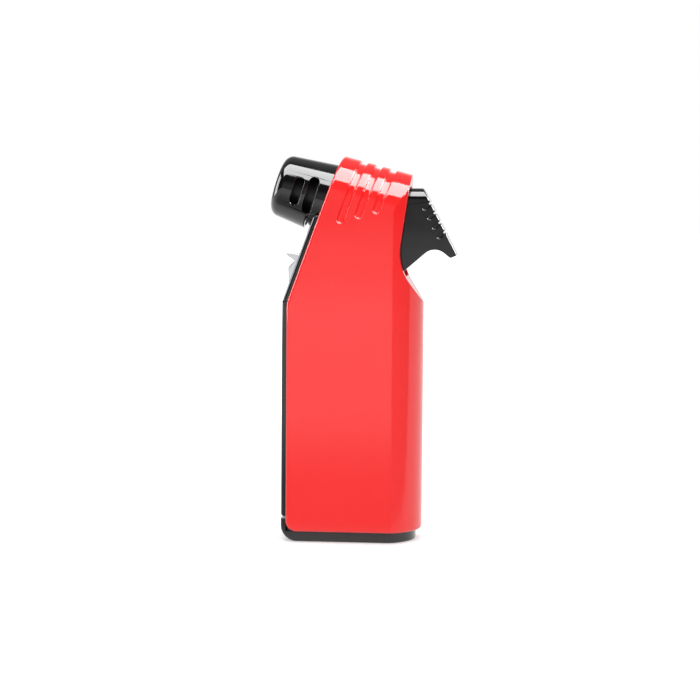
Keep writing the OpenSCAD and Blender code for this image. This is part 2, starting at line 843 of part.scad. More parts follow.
module trigger() {
    leg_in = pivot_x + 0.2;
    color([0.05, 0.05, 0.055])
        difference() {
            union() {
                intersection() {
                    rotate([90, 0, 0]) linear_extrude(trigger_w, center = true) trigger_profile();
                    trigger_slot(0.001, opening_z - 9);
                }
                // The nose that pushes the igniter's plunger.
                translate([pivot_x, 0, piezo_z]) rotate([90, 0, 0]) cylinder(r = nose_r, h = 2 * leg_half, center = true);
                // The leg that works the valve lever.
                rotate([90, 0, 0]) linear_extrude(2 * leg_half, center = true) polygon(concat(
                    [[pivot_x - 1.3, piezo_z], [pivot_x - 0.3, piezo_z - 4.6], [cam_x + 0.4, piezo_z - 7]],
                    [for (a = [cam_start - 2:2:cam_start + travel]) cam_point(a)],
                    [[pivot_x + 1.4, opening_z + 0.4], [leg_in, opening_z + 3], [leg_in, piezo_z]]
                ));
            }
            translate([pivot_x, 0, pivot_z]) rotate([90, 0, 0]) cylinder(r = pin_r + pin_fit, h = 40, center = true);
            for (i = [0:grip_n - 1]) grip_cut(i);
        }
}

module trigger_pin() {
    color([0.72, 0.72, 0.74])
        translate([pivot_x, 0, pivot_z]) rotate([90, 0, 0]) cylinder(r = pin_r, h = 2 * pin_half, center = true);
}

plunger_half = 2.2;
plunger_tip = pivot_x - nose_r - 0.1;
piezo_half = 3.6;
piezo_front = -8;
piezo_back = 5.5;
flange_t = 0.8;
spring_r = 3.5;

module piezo_body() {
    color([0.16, 0.16, 0.17])
        difference() {
            translate([piezo_front, -piezo_half, piezo_z - piezo_half])
                cube([piezo_back - piezo_front, 2 * piezo_half, 2 * piezo_half]);
            translate([piezo_front + 4, -plunger_half - pin_fit, piezo_z - plunger_half - pin_fit])
                cube([40, 2 * (plunger_half + pin_fit), 2 * (plunger_half + pin_fit)]);
            translate([piezo_front - 1, 0, piezo_z]) rotate([0, 90, 0]) cylinder(r = 0.6, h = 3.2, $fn = 24);
        }
}

module piezo_plunger() {
    low = piezo_back - 5;
    color([0.9, 0.9, 0.88]) {
        translate([low, -plunger_half, piezo_z - plunger_half])
            cube([plunger_tip - low, 2 * plunger_half, 2 * plunger_half]);
        translate([plunger_tip - flange_t, 0, piezo_z]) rotate([0, 90, 0]) cylinder(r = spring_r + 0.4, h = flange_t);
    }
}

module return_spring() {
    color([0.8, 0.8, 0.82])
        translate([piezo_back + 0.02, 0, piezo_z]) rotate([0, 90, 0])
            coil(spring_r, 0.22, plunger_tip - flange_t - piezo_back - 0.04, 3, 16);
}

module valve_lever() {
    pad = 1;
    color([0.7, 0.7, 0.72])
        difference() {
            rotate([90, 0, 0]) linear_extrude(2 * leg_half, center = true) difference() {
                union() {
                    polygon([
                        [valve_x - 2.6, fork_z], [lever_x - 1.6, fork_z], [lever_x + 1.6, lever_z - 1.6],
                        [cam_x + 0.7, pivot_z - leg_drop - 2.1], [cam_x, pivot_z - leg_drop - 0.7],
                        [lever_x + 0.6, lever_z + 1.6], [lever_x - 1.6, lever_z + 0.4],
                        [lever_x - 2.6, fork_z + fork_t], [valve_x, fork_z + fork_t],
                        [valve_x - 2.6, fork_z + fork_t - 0.5]
                    ]);
                    translate([lever_x, lever_z]) circle(1.7);
                    translate([cam_x, pivot_z - leg_drop - 0.2 - pad]) circle(pad);
                }
                translate([lever_x, lever_z]) circle(lever_pin_r + pin_fit);
            }
            translate([valve_x - 9, -stem_r - 0.2, fork_z - 1]) cube([9 + stem_r + 0.8, 2 * stem_r + 0.4, 3]);
        }
}

module lever_pin() {
    color([0.72, 0.72, 0.74])
        translate([lever_x, 0, lever_z]) rotate([90, 0, 0]) cylinder(r = lever_pin_r, h = 2 * pin_half, center = true);
}

// ---------- chassis of the head ----------

chassis_back = back_cx + sqrt(pow(back_r - wall, 2) - pow(chassis_half + chassis_t, 2)) - 0.43;

module chassis_plate() {
    rotate([90, 0, 0]) linear_extrude(chassis_t, center = true) difference() {
        polygon(rounded([
            [tank_front + 0.6, chassis_z, 0], [tank_front + 0.6, chassis_z + 3, 1],
            [piezo_front - 2.4, piezo_z - 3, 2], [piezo_front - 0.4, piezo_z + 4.4, 2],
            [pivot_x - 6, piezo_z + 7, 3], [pivot_x - 4, pivot_z + 1.8, 2], [pivot_x + 1.8, pivot_z + 1.8, 1.6],
            [pivot_x + 0.4, piezo_z + 2, 6], [pivot_x + 0.6, opening_z, 3], [chassis_back, chassis_z, 0]
        ]));
        translate([pivot_x, pivot_z]) circle(pin_r + pin_fit);
        translate([lever_x, lever_z]) circle(lever_pin_r + pin_fit);
        polygon(rounded([
            [tank_front + 6.5, chassis_z + 3, 1.5], [-6, piezo_z - 7, 1.5], [-1.2, piezo_z - 7, 1.5],
            [-1.2, chassis_z + 3, 1.5]
        ]));
    }
}

module head_chassis() {
    inner = 2 * chassis_half + 0.2;
    color([0.12, 0.12, 0.13])
        difference() {
            union() {
                for (s = [-1, 1]) translate([0, s * (chassis_half + chassis_t / 2), 0]) chassis_plate();
                // Two feet screwed to the tank's lid.
                for (x = [tank_front + 1.2, back_x - 9.2])
                    translate([x, -inner / 2, chassis_z]) cube([3.6, inner, 2]);
                // Shelf and front stop of the igniter.
                translate([piezo_front - 1, -inner / 2, piezo_z - piezo_half - 1.2])
                    cube([piezo_back - piezo_front - 3, inner, 1.2]);
                // Saddle under the burner.
                translate([-2.5, -inner / 2, piezo_z + piezo_half]) cube([2.2, inner, 7]);
            }
            at_nozzle(-30) cylinder(r = 3.4 + fit, h = 40);
            translate([valve_x - 0.6, hose_y - hose_r - 2 * play, piezo_z - 12])
                cube([6.2, 2 * hose_r + 3 * play, piezo_half + 9]);
            for (p = chassis_screw_at) translate([p.x, p.y, chassis_z - 1]) cylinder(r = screw_r + pin_fit, h = 9);
        }
}

module chassis_screws() {
    color([0.75, 0.75, 0.77])
        for (p = chassis_screw_at) translate([p.x, p.y, lid_z + 0.5])
            screw(screw_r, screw_head_r, lid_t + 1.5, 0.9);
}

// ---------- flame lock ----------

// Side view of the slider: x is the height out of the frame's face and y the way up the slope.
module lock_profile() {
    polygon(rounded([
        [-0.1, -4.2, 0], [-1, -4.2, 0.3], [-2.4, -0.7, 0.6], [-1.2, 1.9, 0.5], [-4, 2.6, 0.2], [-4, 3.4, 0.2],
        [-1.2, 4, 0.8], [-0.1, 4, 0]
    ], 4));
}

module lock_slider() {
    color([0.86, 0.87, 0.88])
        on_slant(lock_z) {
            rotate([90, 0, 0]) linear_extrude(lock_w, center = true) lock_profile();
            translate([-0.5, -lock_neck, lock_neck_low])
                cube([lock_foot_in + 0.6, 2 * lock_neck, lock_neck_len]);
            translate([lock_foot_in, -lock_w / 2, lock_neck_low - 0.9])
                cube([lock_foot_t, lock_w, lock_neck_len + 1.8]);
        }
}

module lock_spring() {
    color([0.78, 0.78, 0.8])
        on_slant(lock_z)
            translate([lock_foot_in + lock_foot_t + 0.15, -1.5, lock_neck_low])
                cube([0.3, 3, lock_block + lock_block_len - lock_neck_low]);
}

outer_cover();
front_frame();
base_cap();
base_screws();
fuel_tank();
tank_lid();
lid_gasket();
refill_valve();
refill_poppet();
refill_spring();
refill_o_ring();
flame_dial();
adjuster_needle();
adjuster_body();
feed_tube();
outlet_valve();
outlet_stem();
outlet_spring();
outlet_o_ring();
gas_hose();
head_chassis();
chassis_screws();
piezo_body();
piezo_plunger();
return_spring();
ignition_wire();
electrode();
electrode_sleeve();
burner_jet();
mixing_tube();
flame_tube();
flame_grid();
nozzle_shroud();
nozzle_collar();
trigger();
trigger_pin();
valve_lever();
lever_pin();
lock_slider();
lock_spring();
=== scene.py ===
import json
from math import acos, asin, atan2, ceil, cos, pi, radians, sin, sqrt, tan

import bmesh
import bpy
from mathutils import Matrix, Vector


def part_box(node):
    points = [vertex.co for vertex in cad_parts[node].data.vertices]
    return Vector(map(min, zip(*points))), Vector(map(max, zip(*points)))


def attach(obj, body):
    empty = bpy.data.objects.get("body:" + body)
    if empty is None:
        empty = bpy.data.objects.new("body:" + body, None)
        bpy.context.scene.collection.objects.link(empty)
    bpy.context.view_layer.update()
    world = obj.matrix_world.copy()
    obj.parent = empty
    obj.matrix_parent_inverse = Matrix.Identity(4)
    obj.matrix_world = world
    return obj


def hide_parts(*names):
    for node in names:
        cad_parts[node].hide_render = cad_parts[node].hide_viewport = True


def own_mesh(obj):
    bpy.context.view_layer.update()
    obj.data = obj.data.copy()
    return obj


# A palm-size butane torch. Lengths are in metres, angles in radians. -X is the flame side, +X the
# thumb side, +Z is up, and the origin is the middle of the underside.

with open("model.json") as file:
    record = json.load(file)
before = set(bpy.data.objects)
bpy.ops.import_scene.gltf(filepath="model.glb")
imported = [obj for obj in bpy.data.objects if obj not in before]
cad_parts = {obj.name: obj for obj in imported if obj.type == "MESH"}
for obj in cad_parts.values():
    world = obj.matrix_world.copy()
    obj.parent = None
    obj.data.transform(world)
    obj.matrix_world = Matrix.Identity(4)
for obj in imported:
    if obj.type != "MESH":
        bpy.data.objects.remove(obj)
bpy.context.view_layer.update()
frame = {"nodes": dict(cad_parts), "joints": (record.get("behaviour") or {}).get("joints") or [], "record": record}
joints = {joint["name"]: joint for joint in frame["joints"]}
slots = {part["node"]: part["material_slot"] for part in frame["record"]["subparts"]}
MM = 0.001

# ---------- sizes ----------

cover_low, cover_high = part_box("outer_cover")
frame_low, frame_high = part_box("front_frame")
half_w = cover_high.y
back_x = cover_high.x
cover_x = cover_low.x
cover_z = cover_low.z
frame_x = frame_low.x
frame_half = frame_high.y
proud = cover_x - frame_x
slant = asin(joints["lock_slide"]["axis"][0])
crest_tilt = radians(15)
crest_z = 108 * MM
bend_z = 67.6 * MM
bend_r = 8 * MM
wall = 1.6 * MM
play = 0.3 * MM
fit = 0.1 * MM
# A length that takes a cutting tool well past the surface it cuts.
beyond = 60 * MM

# Roundings of the cover: its outer edges, its inner edges, the crease along the hood, the rim behind
# the trigger and the grooves.
outer_edge_r = 0.8 * MM
inner_edge_r = 0.3 * MM
crease_r = 0.2 * MM
rim_r = 0.3 * MM
groove_edge_r = 0.38 * MM
bottom_corner_r = 3 * MM

# The curved back, the shoulder and the waist behind the trigger.
back_r = 12.9 * MM
back_centre_x = back_x - back_r
shoulder_z = 67.8 * MM
shoulder_lean = radians(34)
waist_lean = radians(8)
waist_x = back_x - 7.1 * MM
waist_z = shoulder_z + 10.4 * MM
waist_r = 15 * MM

# Grooves over the hood, parallel to the slanted front.
groove_w = 1.85 * MM
groove_d = 0.8 * MM
groove_first = 6.1 * MM
groove_pitch = 4.25 * MM
groove_end_z = crest_z - 17.1 * MM
groove_rise = 1.4 * MM
groove_count = 3

# The nozzle: its axis runs up and forward, and distances along it count from its centre.
nozzle_tilt = radians(17)
nozzle_centre = Vector((frame_x + 4.4 * MM, 0, crest_z - 9.15 * MM))
shroud_r = 9.35 * MM
shroud_taper = radians(6)
shroud_wall = 1.1 * MM
shroud_front = 7.1 * MM
shroud_seat = 8.6 * MM
shroud_back = 11 * MM
mouth_r = 6.2 * MM
lip = 1.3 * MM
lip_round = 2.7 * MM
collar_r = 8.6 * MM
collar_front = 4.6 * MM
slot_w = 2.6 * MM
# Each air slot: its place along the axis, and how far it reaches up and down from the axis.
air_slots = [(0.4 * MM, 3.7 * MM, 4.1 * MM), (-3.6 * MM, 5 * MM, 5.3 * MM)]

# The trigger, from its pivot and its own box.
trigger_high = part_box("trigger")[1]
trigger_half = trigger_high.y
trigger_top = trigger_high.z
pivot = Vector(joints["trigger_press"]["pos_m"])
pad_lean = radians(27.5)
pad_x = back_x - 0.3 * MM
pad_len = 21 * MM
trigger_round = 3.8 * MM
opening_z = shoulder_z + 7.4 * MM
grip_count = 4
grip_start = 4.6 * MM
grip_pitch = 3 * MM
grip_tilt = radians(14)
travel = radians(13)
leg_half = 3 * MM
nose_r = 1.5 * MM
nose_z = pivot.z - 13.6 * MM
trigger_bore_r = 1.05 * MM

# The underside of the trigger's leg: an arc about the pivot, over the valve lever.
cam_x = 7.4 * MM
cam_drop = 23.2 * MM
cam_reach = sqrt((cam_x - pivot.x) ** 2 + cam_drop ** 2)
cam_start = atan2(cam_x - pivot.x, cam_drop)

# Rail and flame lock.
notch_z = 6.9 * MM
notch = 0.5 * MM
frame_in = 1.1 * MM
frame_top = crest_z - 16 * MM
lock_z = bend_z + 9.4 * MM
lock_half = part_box("lock_slider")[1].y
lock_travel = 3 * MM
lock_neck_half = 2 * MM
lock_neck_low = -2.9 * MM
lock_neck_len = 3 * MM
lock_foot_in = proud + frame_in + 0.15 * MM
lock_foot_t = MM
lock_block_low = 6.2 * MM
lock_block_len = 2.2 * MM

# The underside, and the valves over it.
floor_z = 4.2 * MM
tank_z = 6.2 * MM
refill_x = 8 * MM
dial_x = -7 * MM
outlet_x = -4 * MM
bore_r = 2.7 * MM
port_recess_r = 3.7 * MM
dial_recess_r = 5.5 * MM
dial_r = 5.2 * MM
screw_r = 0.9 * MM
screw_head_r = 1.8 * MM
screw_places = [
    (x, side * (half_w - inset)) for x, inset in ((cover_x + 4.6 * MM, 4.6 * MM), (back_x - 6.4 * MM, 6 * MM))
    for side in (-1, 1)
]

# The burner, along the nozzle's axis.
flame_tube_r = 5.2 * MM
flame_tube_t = 0.5 * MM
flame_tube_len = 15.6 * MM
flame_grid_t = 1.6 * MM
collar_back = 12.5 * MM
electrode_up = 6.85 * MM
electrode_r = 0.38 * MM
sleeve_r = 1.15 * MM
sleeve_bore_r = 0.45 * MM


# ---------- plane geometry ----------

def turn(angle):
    """The direction that leans this far from straight up."""
    return Vector((sin(angle), cos(angle)))


def out(angle):
    """The direction square to turn(angle)."""
    return Vector((cos(angle), -sin(angle)))


def meet(p, u, q, v):
    """Where the line through p along u meets the line through q along v."""
    return p + u * ((q - p).cross(v) / u.cross(v))


def rounded(corners, step=radians(4)):
    """An outline from (point, radius) corners, its rounded corners cut into short steps."""
    corners = [(Vector(p), r) for p, r in corners]
    points = []
    for i, (p, r) in enumerate(corners):
        if r <= 0:
            points.append(p)
            continue
        u = (corners[i - 1][0] - p).normalized()
        v = (corners[(i + 1) % len(corners)][0] - p).normalized()
        half = acos(max(-1.0, min(1.0, u.dot(v)))) / 2
        centre = p + (u + v).normalized() * r / sin(half)
        start = p + u * r / tan(half) - centre
        end = p + v * r / tan(half) - centre
        first = atan2(start.y, start.x)
        sweep = (atan2(end.y, end.x) - first + 3 * pi) % (2 * pi) - pi
        count = max(2, ceil(abs(sweep) / step))
        points += [
            centre + r * Vector((cos(first + sweep * k / count), sin(first + sweep * k / count)))
            for k in range(count + 1)
        ]
    return points


def arc(centre, r, first, last, step=radians(3)):
    """Points along an arc, both ends included."""
    count = max(2, ceil(abs(last - first) / step))
    return [
        Vector((centre[0] + r * cos(first + (last - first) * k / count),
                centre[1] + r * sin(first + (last - first) * k / count)))
        for k in range(count + 1)
    ]


def front_foot(inset):
    return Vector((cover_x, bend_z)) + inset * out(slant)


def front_bend(inset):
    return meet(Vector((cover_x + inset, 0)), Vector((0, 1)), front_foot(inset), turn(slant))


# ---------- solids ----------

side_on = Matrix.Rotation(pi / 2, 4, "X")
crest_frame = Matrix((
    (-sin(crest_tilt), 0, cos(crest_tilt), 0),
    (0, 1, 0, 0),
    (-cos(crest_tilt), 0, -sin(crest_tilt), crest_z),
    (0, 0, 0, 1),
))
nozzle_frame = Matrix.Translation(nozzle_centre) @ Matrix.Rotation(nozzle_tilt - pi / 2, 4, "Y")
slope_point = front_foot(-proud) + turn(slant) * (lock_z - front_foot(-proud).y) / cos(slant)
slope_frame = Matrix.Translation((slope_point.x, 0, slope_point.y)) @ Matrix.Rotation(slant, 4, "Y")


def new_object(name, data):
    made = bpy.data.objects.new(name, data)
    bpy.context.scene.collection.objects.link(made)
    return made


def new_piece(name, bm):
    """A finished bmesh as an object of its own at the origin."""
    bmesh.ops.recalc_face_normals(bm, faces=bm.faces)
    mesh = bpy.data.meshes.new(name)
    bm.to_mesh(mesh)
    bm.free()
    return new_object(name, mesh)


def prism(outline, low, high, place=None, name="tool"):
    """An outline in XY carried from z = low to z = high, then put in its place."""
    bm = bmesh.new()
    floor = [bm.verts.new((p.x, p.y, low)) for p in outline]
    roof = [bm.verts.new((p.x, p.y, high)) for p in outline]
    bm.faces.new(floor[::-1])
    bm.faces.new(roof)
    for i in range(len(outline)):
        j = (i + 1) % len(outline)
        bm.faces.new((floor[i], floor[j], roof[j], roof[i]))
    if place:
        bm.transform(place)
    return new_piece(name, bm)


def rod(r, low, high, place=None, name="tool", sides=96):
    circle = [Vector((r * cos(2 * pi * k / sides), r * sin(2 * pi * k / sides))) for k in range(sides)]
    return prism(circle, low, high, place, name)


def box(low, high, place=None, name="tool"):
    sides = ((low[0], low[1]), (high[0], low[1]), (high[0], high[1]), (low[0], high[1]))
    return prism([Vector(corner) for corner in sides], low[2], high[2], place, name)


def upright(x, y=0):
    """The place of a rod that stands on this spot."""
    return Matrix.Translation((x, y, 0))


def across(x, z):
    """The place of a rod that lies across the body through this spot."""
    return Matrix.Translation((x, 0, z)) @ side_on


def settle(piece):
    """Turns a piece's modifiers into its plain mesh."""
    seen = piece.evaluated_get(bpy.context.evaluated_depsgraph_get())
    mesh = bpy.data.meshes.new_from_object(seen)
    old = piece.data
    piece.modifiers.clear()
    piece.data = mesh
    mesh.name = piece.name
    bpy.data.meshes.remove(old)
    return piece


def combine(piece, tool, how):
    """Joins, cuts or trims a piece with a tool, which is used up."""
    cut = piece.modifiers.new("cut", "BOOLEAN")
    cut.operation = how
    cut.solver = "EXACT"
    cut.object = tool
    settle(piece)
    bpy.data.objects.remove(tool)
    return piece


def cut_away(piece, *tools):
    for tool in tools:
        combine(piece, tool, "DIFFERENCE")
    return piece


def keep_inside(piece, *tools):
    for tool in tools:
        combine(piece, tool, "INTERSECT")
    return piece


def round_edges(piece, widest, width_at=None, segments=4, from_angle=18, close=2e-6):
    """Rounds each sharp edge by the width that width_at gives for its middle, then evens the shading.

    widest is the largest of those widths, and the width of every edge where no width_at is given. Points
    closer together than close are joined first.
    """
    bm = bmesh.new()
    bm.from_mesh(piece.data)
    bmesh.ops.remove_doubles(bm, verts=bm.verts, dist=close)
    bmesh.ops.dissolve_limit(bm, angle_limit=radians(0.05), verts=bm.verts, edges=bm.edges)
    layers = bm.edges.layers.float
    weight = layers.get("bevel_weight_edge") or layers.new("bevel_weight_edge")
    for edge in bm.edges:
        edge[weight] = 0
        if len(edge.link_faces) == 2 and edge.calc_face_angle(0) > radians(from_angle):
            middle = (edge.verts[0].co + edge.verts[1].co) / 2
            edge[weight] = width_at(middle) / widest if width_at else 1
    bm.to_mesh(piece.data)
    bm.free()
    bevel = piece.modifiers.new("rounded edges", "BEVEL")
    bevel.limit_method = "WEIGHT"
    bevel.width = widest
    bevel.segments = segments
    bevel.use_clamp_overlap = False
    bevel.miter_outer = "MITER_ARC"
    settle(piece)
    shade(piece)
    return piece


def shade(piece, angle=radians(32)):
    """Smooth shading that stays flat on the flats: at each corner the larger faces count for more."""
    mesh = piece.data
    mesh.shade_smooth()
    mesh.set_sharp_from_angle(angle=angle)
    around = [[] for _ in mesh.vertices]
    faces = [(list(face.vertices), face.normal.copy(), face.area) for face in mesh.polygons]
    for corners, normal, area in faces:
        for corner in corners:
            around[corner].append((normal, area))
    normals = []
    for corners, own, _ in faces:
        for corner in corners:
            near = [normal * area for normal, area in around[corner] if own.dot(normal) > cos(angle)]
            normals.append(sum(near, own * 1e-12).normalized())
    mesh.normals_split_custom_set(normals)
    return piece


# ---------- what repeats, what turns about an axis and what follows a path ----------

def feed(socket, value):
    """Wires an output to a socket, or sets the socket to a plain value."""
    if isinstance(value, bpy.types.NodeSocket):
        socket.id_data.links.new(value, socket)
    else:
        socket.default_value = value


def feed_all(node, **sockets):
    for key, value in sockets.items():
        feed(node.inputs[key.replace("_", " ")], value)


def add(tree, kind, settings=None, **sockets):
    """A node with its settings and its inputs."""
    made = tree.nodes.new(kind)
    for key, value in (settings or {}).items():
        setattr(made, key, value)
    feed_all(made, **sockets)
    return made


def sum_up(tree, operation, *values):
    made = add(tree, "ShaderNodeMath", {"operation": operation})
    for socket, value in zip(made.inputs, values):
        feed(socket, value)
    return made.outputs[0]


def mix(tree, share, colour, other):
    """A colour between two others."""
    made = add(tree, "ShaderNodeMix", {"data_type": "RGBA"})
    for i, value in ((0, share), (6, (*colour, 1)), (7, (*other, 1))):
        feed(made.inputs[i], value)
    return made.outputs[2]


def ramp(tree, value, low, high, start, end, shape="SMOOTHSTEP"):
    """A value that goes from start to end while another one goes from low to high."""
    return add(
        tree, "ShaderNodeMapRange", {"interpolation_type": shape},
        Value=value, From_Min=low, From_Max=high, To_Min=start, To_Max=end,
    ).outputs[0]


def new_tree(name, **kinds):
    """A geometry tree with named inputs, whose last steps realize its copies and set the material."""
    tree = bpy.data.node_groups.new(name, "GeometryNodeTree")
    tree.interface.new_socket("Geometry", in_out="OUTPUT", socket_type="NodeSocketGeometry")
    for label, kind in {"Geometry": "Geometry", **kinds, "Material": "Material"}.items():
        tree.interface.new_socket(label, in_out="INPUT", socket_type="NodeSocket" + kind)
    return tree, tree.nodes.new("NodeGroupInput").outputs


def close_tree(tree, shape, ports):
    whole = add(tree, "GeometryNodeRealizeInstances", Geometry=shape)
    made = add(tree, "GeometryNodeSetMaterial", Geometry=whole.outputs[0], Material=ports["Material"])
    tree.links.new(made.outputs[0], tree.nodes.new("NodeGroupOutput").inputs[0])
    return tree


def turned_tree():
    """An outline of (radius, 0, height) points turned about Z."""
    tree, ports = new_tree("turned", Sides="Int")
    count = add(tree, "GeometryNodeAttributeDomainSize", Geometry=ports["Geometry"]).outputs["Point Count"]
    rows = sum_up(tree, "ADD", count, 1)
    columns = sum_up(tree, "ADD", ports["Sides"], 1)
    sheet = add(tree, "GeometryNodeMeshGrid", Vertices_X=columns, Vertices_Y=rows).outputs["Mesh"]
    index = tree.nodes.new("GeometryNodeInputIndex").outputs[0]
    row = sum_up(tree, "MODULO", sum_up(tree, "MODULO", index, rows), count)
    column = sum_up(tree, "FLOOR", sum_up(tree, "DIVIDE", sum_up(tree, "ADD", index, 0.5), rows))
    angle = sum_up(tree, "DIVIDE", sum_up(tree, "MULTIPLY", column, 2 * pi), ports["Sides"])
    place = tree.nodes.new("GeometryNodeInputPosition").outputs[0]
    point = add(
        tree, "GeometryNodeSampleIndex", {"data_type": "FLOAT_VECTOR"},
        Geometry=ports["Geometry"], Value=place, Index=row,
    ).outputs[0]
    parts = add(tree, "ShaderNodeSeparateXYZ", Vector=point).outputs
    spot = add(
        tree, "ShaderNodeCombineXYZ",
        X=sum_up(tree, "MULTIPLY", parts["X"], sum_up(tree, "COSINE", angle)),
        Y=sum_up(tree, "MULTIPLY", parts["X"], sum_up(tree, "SINE", angle)),
        Z=parts["Z"],
    ).outputs[0]
    moved = add(tree, "GeometryNodeSetPosition", Geometry=sheet, Position=spot).outputs[0]
    joined = add(tree, "GeometryNodeMergeByDistance", Geometry=moved, Distance=1e-6).outputs[0]
    return close_tree(tree, joined, ports)


def copies(tree, ports, points, **facing):
    """The last steps of a tree that puts its pattern at every point."""
    pattern = add(tree, "GeometryNodeObjectInfo", Object=ports["Pattern"]).outputs["Geometry"]
    made = add(tree, "GeometryNodeInstanceOnPoints", Points=points, Instance=pattern, **facing)
    return close_tree(tree, made.outputs[0], ports)


def row_tree():
    """Copies of a pattern in a straight row."""
    tree, ports = new_tree("row", Pattern="Object", Count="Int", Step="Vector")
    line = add(tree, "GeometryNodeMeshLine", Count=ports["Count"], Offset=ports["Step"])
    return copies(tree, ports, line.outputs[0])


def ring_tree():
    """Copies of a pattern round a circle, each turned to face out."""
    tree, ports = new_tree("ring", Pattern="Object", Count="Int", Radius="Float")
    ring = add(tree, "GeometryNodeMeshCircle", Vertices=ports["Count"], Radius=ports["Radius"])
    place = tree.nodes.new("GeometryNodeInputPosition").outputs[0]
    facing = add(tree, "FunctionNodeAlignRotationToVector", {"axis": "X", "pivot_axis": "Z"}, Vector=place)
    return copies(tree, ports, ring.outputs[0], Rotation=facing.outputs[0])


def spread_tree():
    """A copy of a pattern at each of the piece's own points."""
    tree, ports = new_tree("spread", Pattern="Object")
    return copies(tree, ports, ports["Geometry"])


def coil_tree():
    """A round wire wound into a spring that stands on Z = 0."""
    tree, ports = new_tree("coil", Radius="Float", Wire="Float", Height="Float", Turns="Float")
    path = add(
        tree, "GeometryNodeCurveSpiral", Resolution=36, Rotations=ports["Turns"],
        Start_Radius=ports["Radius"], End_Radius=ports["Radius"],
        Height=sum_up(tree, "SUBTRACT", ports["Height"], sum_up(tree, "MULTIPLY", ports["Wire"], 2)),
    ).outputs[0]
    circle = add(tree, "GeometryNodeCurvePrimitiveCircle", Resolution=10, Radius=ports["Wire"]).outputs[0]
    wire = add(tree, "GeometryNodeCurveToMesh", Curve=path, Profile_Curve=circle, Fill_Caps=True).outputs[0]
    up = add(tree, "ShaderNodeCombineXYZ", Z=ports["Wire"]).outputs[0]
    raised = add(tree, "GeometryNodeTransform", Geometry=wire, Translation=up).outputs[0]
    return close_tree(tree, raised, ports)


def sweep_tree():
    """A round section carried along the piece's own chain of points."""
    tree, ports = new_tree("sweep", Radius="Float", Steps="Int", Sides="Int", Capped="Bool")
    chain = add(tree, "GeometryNodeMeshToCurve", Mesh=ports["Geometry"]).outputs[0]
    smooth = add(tree, "GeometryNodeCurveSplineType", {"spline_type": "CATMULL_ROM"}, Curve=chain).outputs[0]
    path = add(tree, "GeometryNodeResampleCurve", Curve=smooth, Count=ports["Steps"]).outputs[0]
    circle = add(
        tree, "GeometryNodeCurvePrimitiveCircle", Resolution=ports["Sides"], Radius=ports["Radius"],
    ).outputs[0]
    skin = add(
        tree, "GeometryNodeCurveToMesh", Curve=path, Profile_Curve=circle, Fill_Caps=ports["Capped"],
    ).outputs[0]
    return close_tree(tree, skin, ports)


trees = {
    "turned": turned_tree(), "row": row_tree(), "ring": ring_tree(),
    "spread": spread_tree(), "coil": coil_tree(), "sweep": sweep_tree(),
}


def grow(name, way, points=(), edges=(), place=None, **sizes):
    """A piece that one of the trees makes, as a plain mesh in its place."""
    mesh = bpy.data.meshes.new(name)
    mesh.from_pydata([tuple(p) for p in points], edges, [])
    piece = new_object(name, mesh)
    modifier = piece.modifiers.new(way, "NODES")
    modifier.node_group = trees[way]
    for item in trees[way].interface.items_tree:
        if item.in_out == "INPUT" and item.name in sizes:
            modifier[item.identifier] = sizes[item.name]
    settle(piece)
    if place:
        piece.data.transform(place)
    return piece


def chain(outline):
    """An outline as points in XZ and the edges that close it."""
    count = len(outline)
    return [(p.x, 0, p.y) for p in outline], [(i, (i + 1) % count) for i in range(count)]


def tidy_skin(piece):
    """Joins the ends of a grown skin and turns its faces outwards."""
    bm = bmesh.new()
    bm.from_mesh(piece.data)
    bmesh.ops.remove_doubles(bm, verts=bm.verts, dist=1e-6)
    bmesh.ops.recalc_face_normals(bm, faces=bm.faces)
    bm.to_mesh(piece.data)
    bm.free()
    return piece


def turned(name, outline, finish, place=None, sides=144):
    """A solid of revolution from its half outline of (radius, height) points."""
    points, edges = chain(outline)
    return tidy_skin(grow(name, "turned", points, edges, place, Sides=sides, Material=finishes[finish]))


def bush(name, finish, inner, outer, low, high, soft, place, sides):
    """A plain round tube with softened rims."""
    outline = rounded([
        ((inner, low), soft), ((outer, low), soft),
        ((outer, high), soft), ((inner, high), soft),
    ], step=radians(15))
    return shade(turned(name, outline, finish, place, sides))


def drop(piece):
    bpy.data.objects.remove(piece)


def fit_in(piece, node, body="torch", slot=None):
    """Puts a finished piece in its body with its finish, in the place of the solid it stands for."""
    slot = slot or slots[node]
    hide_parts(node)
    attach(piece, body)
    piece.data.materials.clear()
    piece.data.materials.append(finishes[slot])
    return piece


def wire(name, way, points=(), edges=(), place=None, **sizes):
    """A round wire or tube that one of the trees makes, put in its node's place."""
    grown = grow(name, way, points, edges, place, Material=finishes[slots[name]], **sizes)
    return fit_in(shade(tidy_skin(grown), radians(50)), name)


def sweep(name, points, r, sides, steps, place=None):
    """A wire or tube along a chain of points, with its ends closed."""
    edges = [(i, i + 1) for i in range(len(points) - 1)]
    return wire(name, "sweep", points, edges, place, Radius=r, Steps=steps, Sides=sides, Capped=True)


def wind(name, place, height, coil_r, wire_r, turns):
    """A round spring that stands in its place."""
    return wire(name, "coil", place=place, Radius=coil_r, Wire=wire_r, Height=height, Turns=float(turns))


# ---------- finishes ----------

def new_material(name):
    made = bpy.data.materials.new(name)
    made.use_nodes = True
    return made, made.node_tree, made.node_tree.nodes["Principled BSDF"]


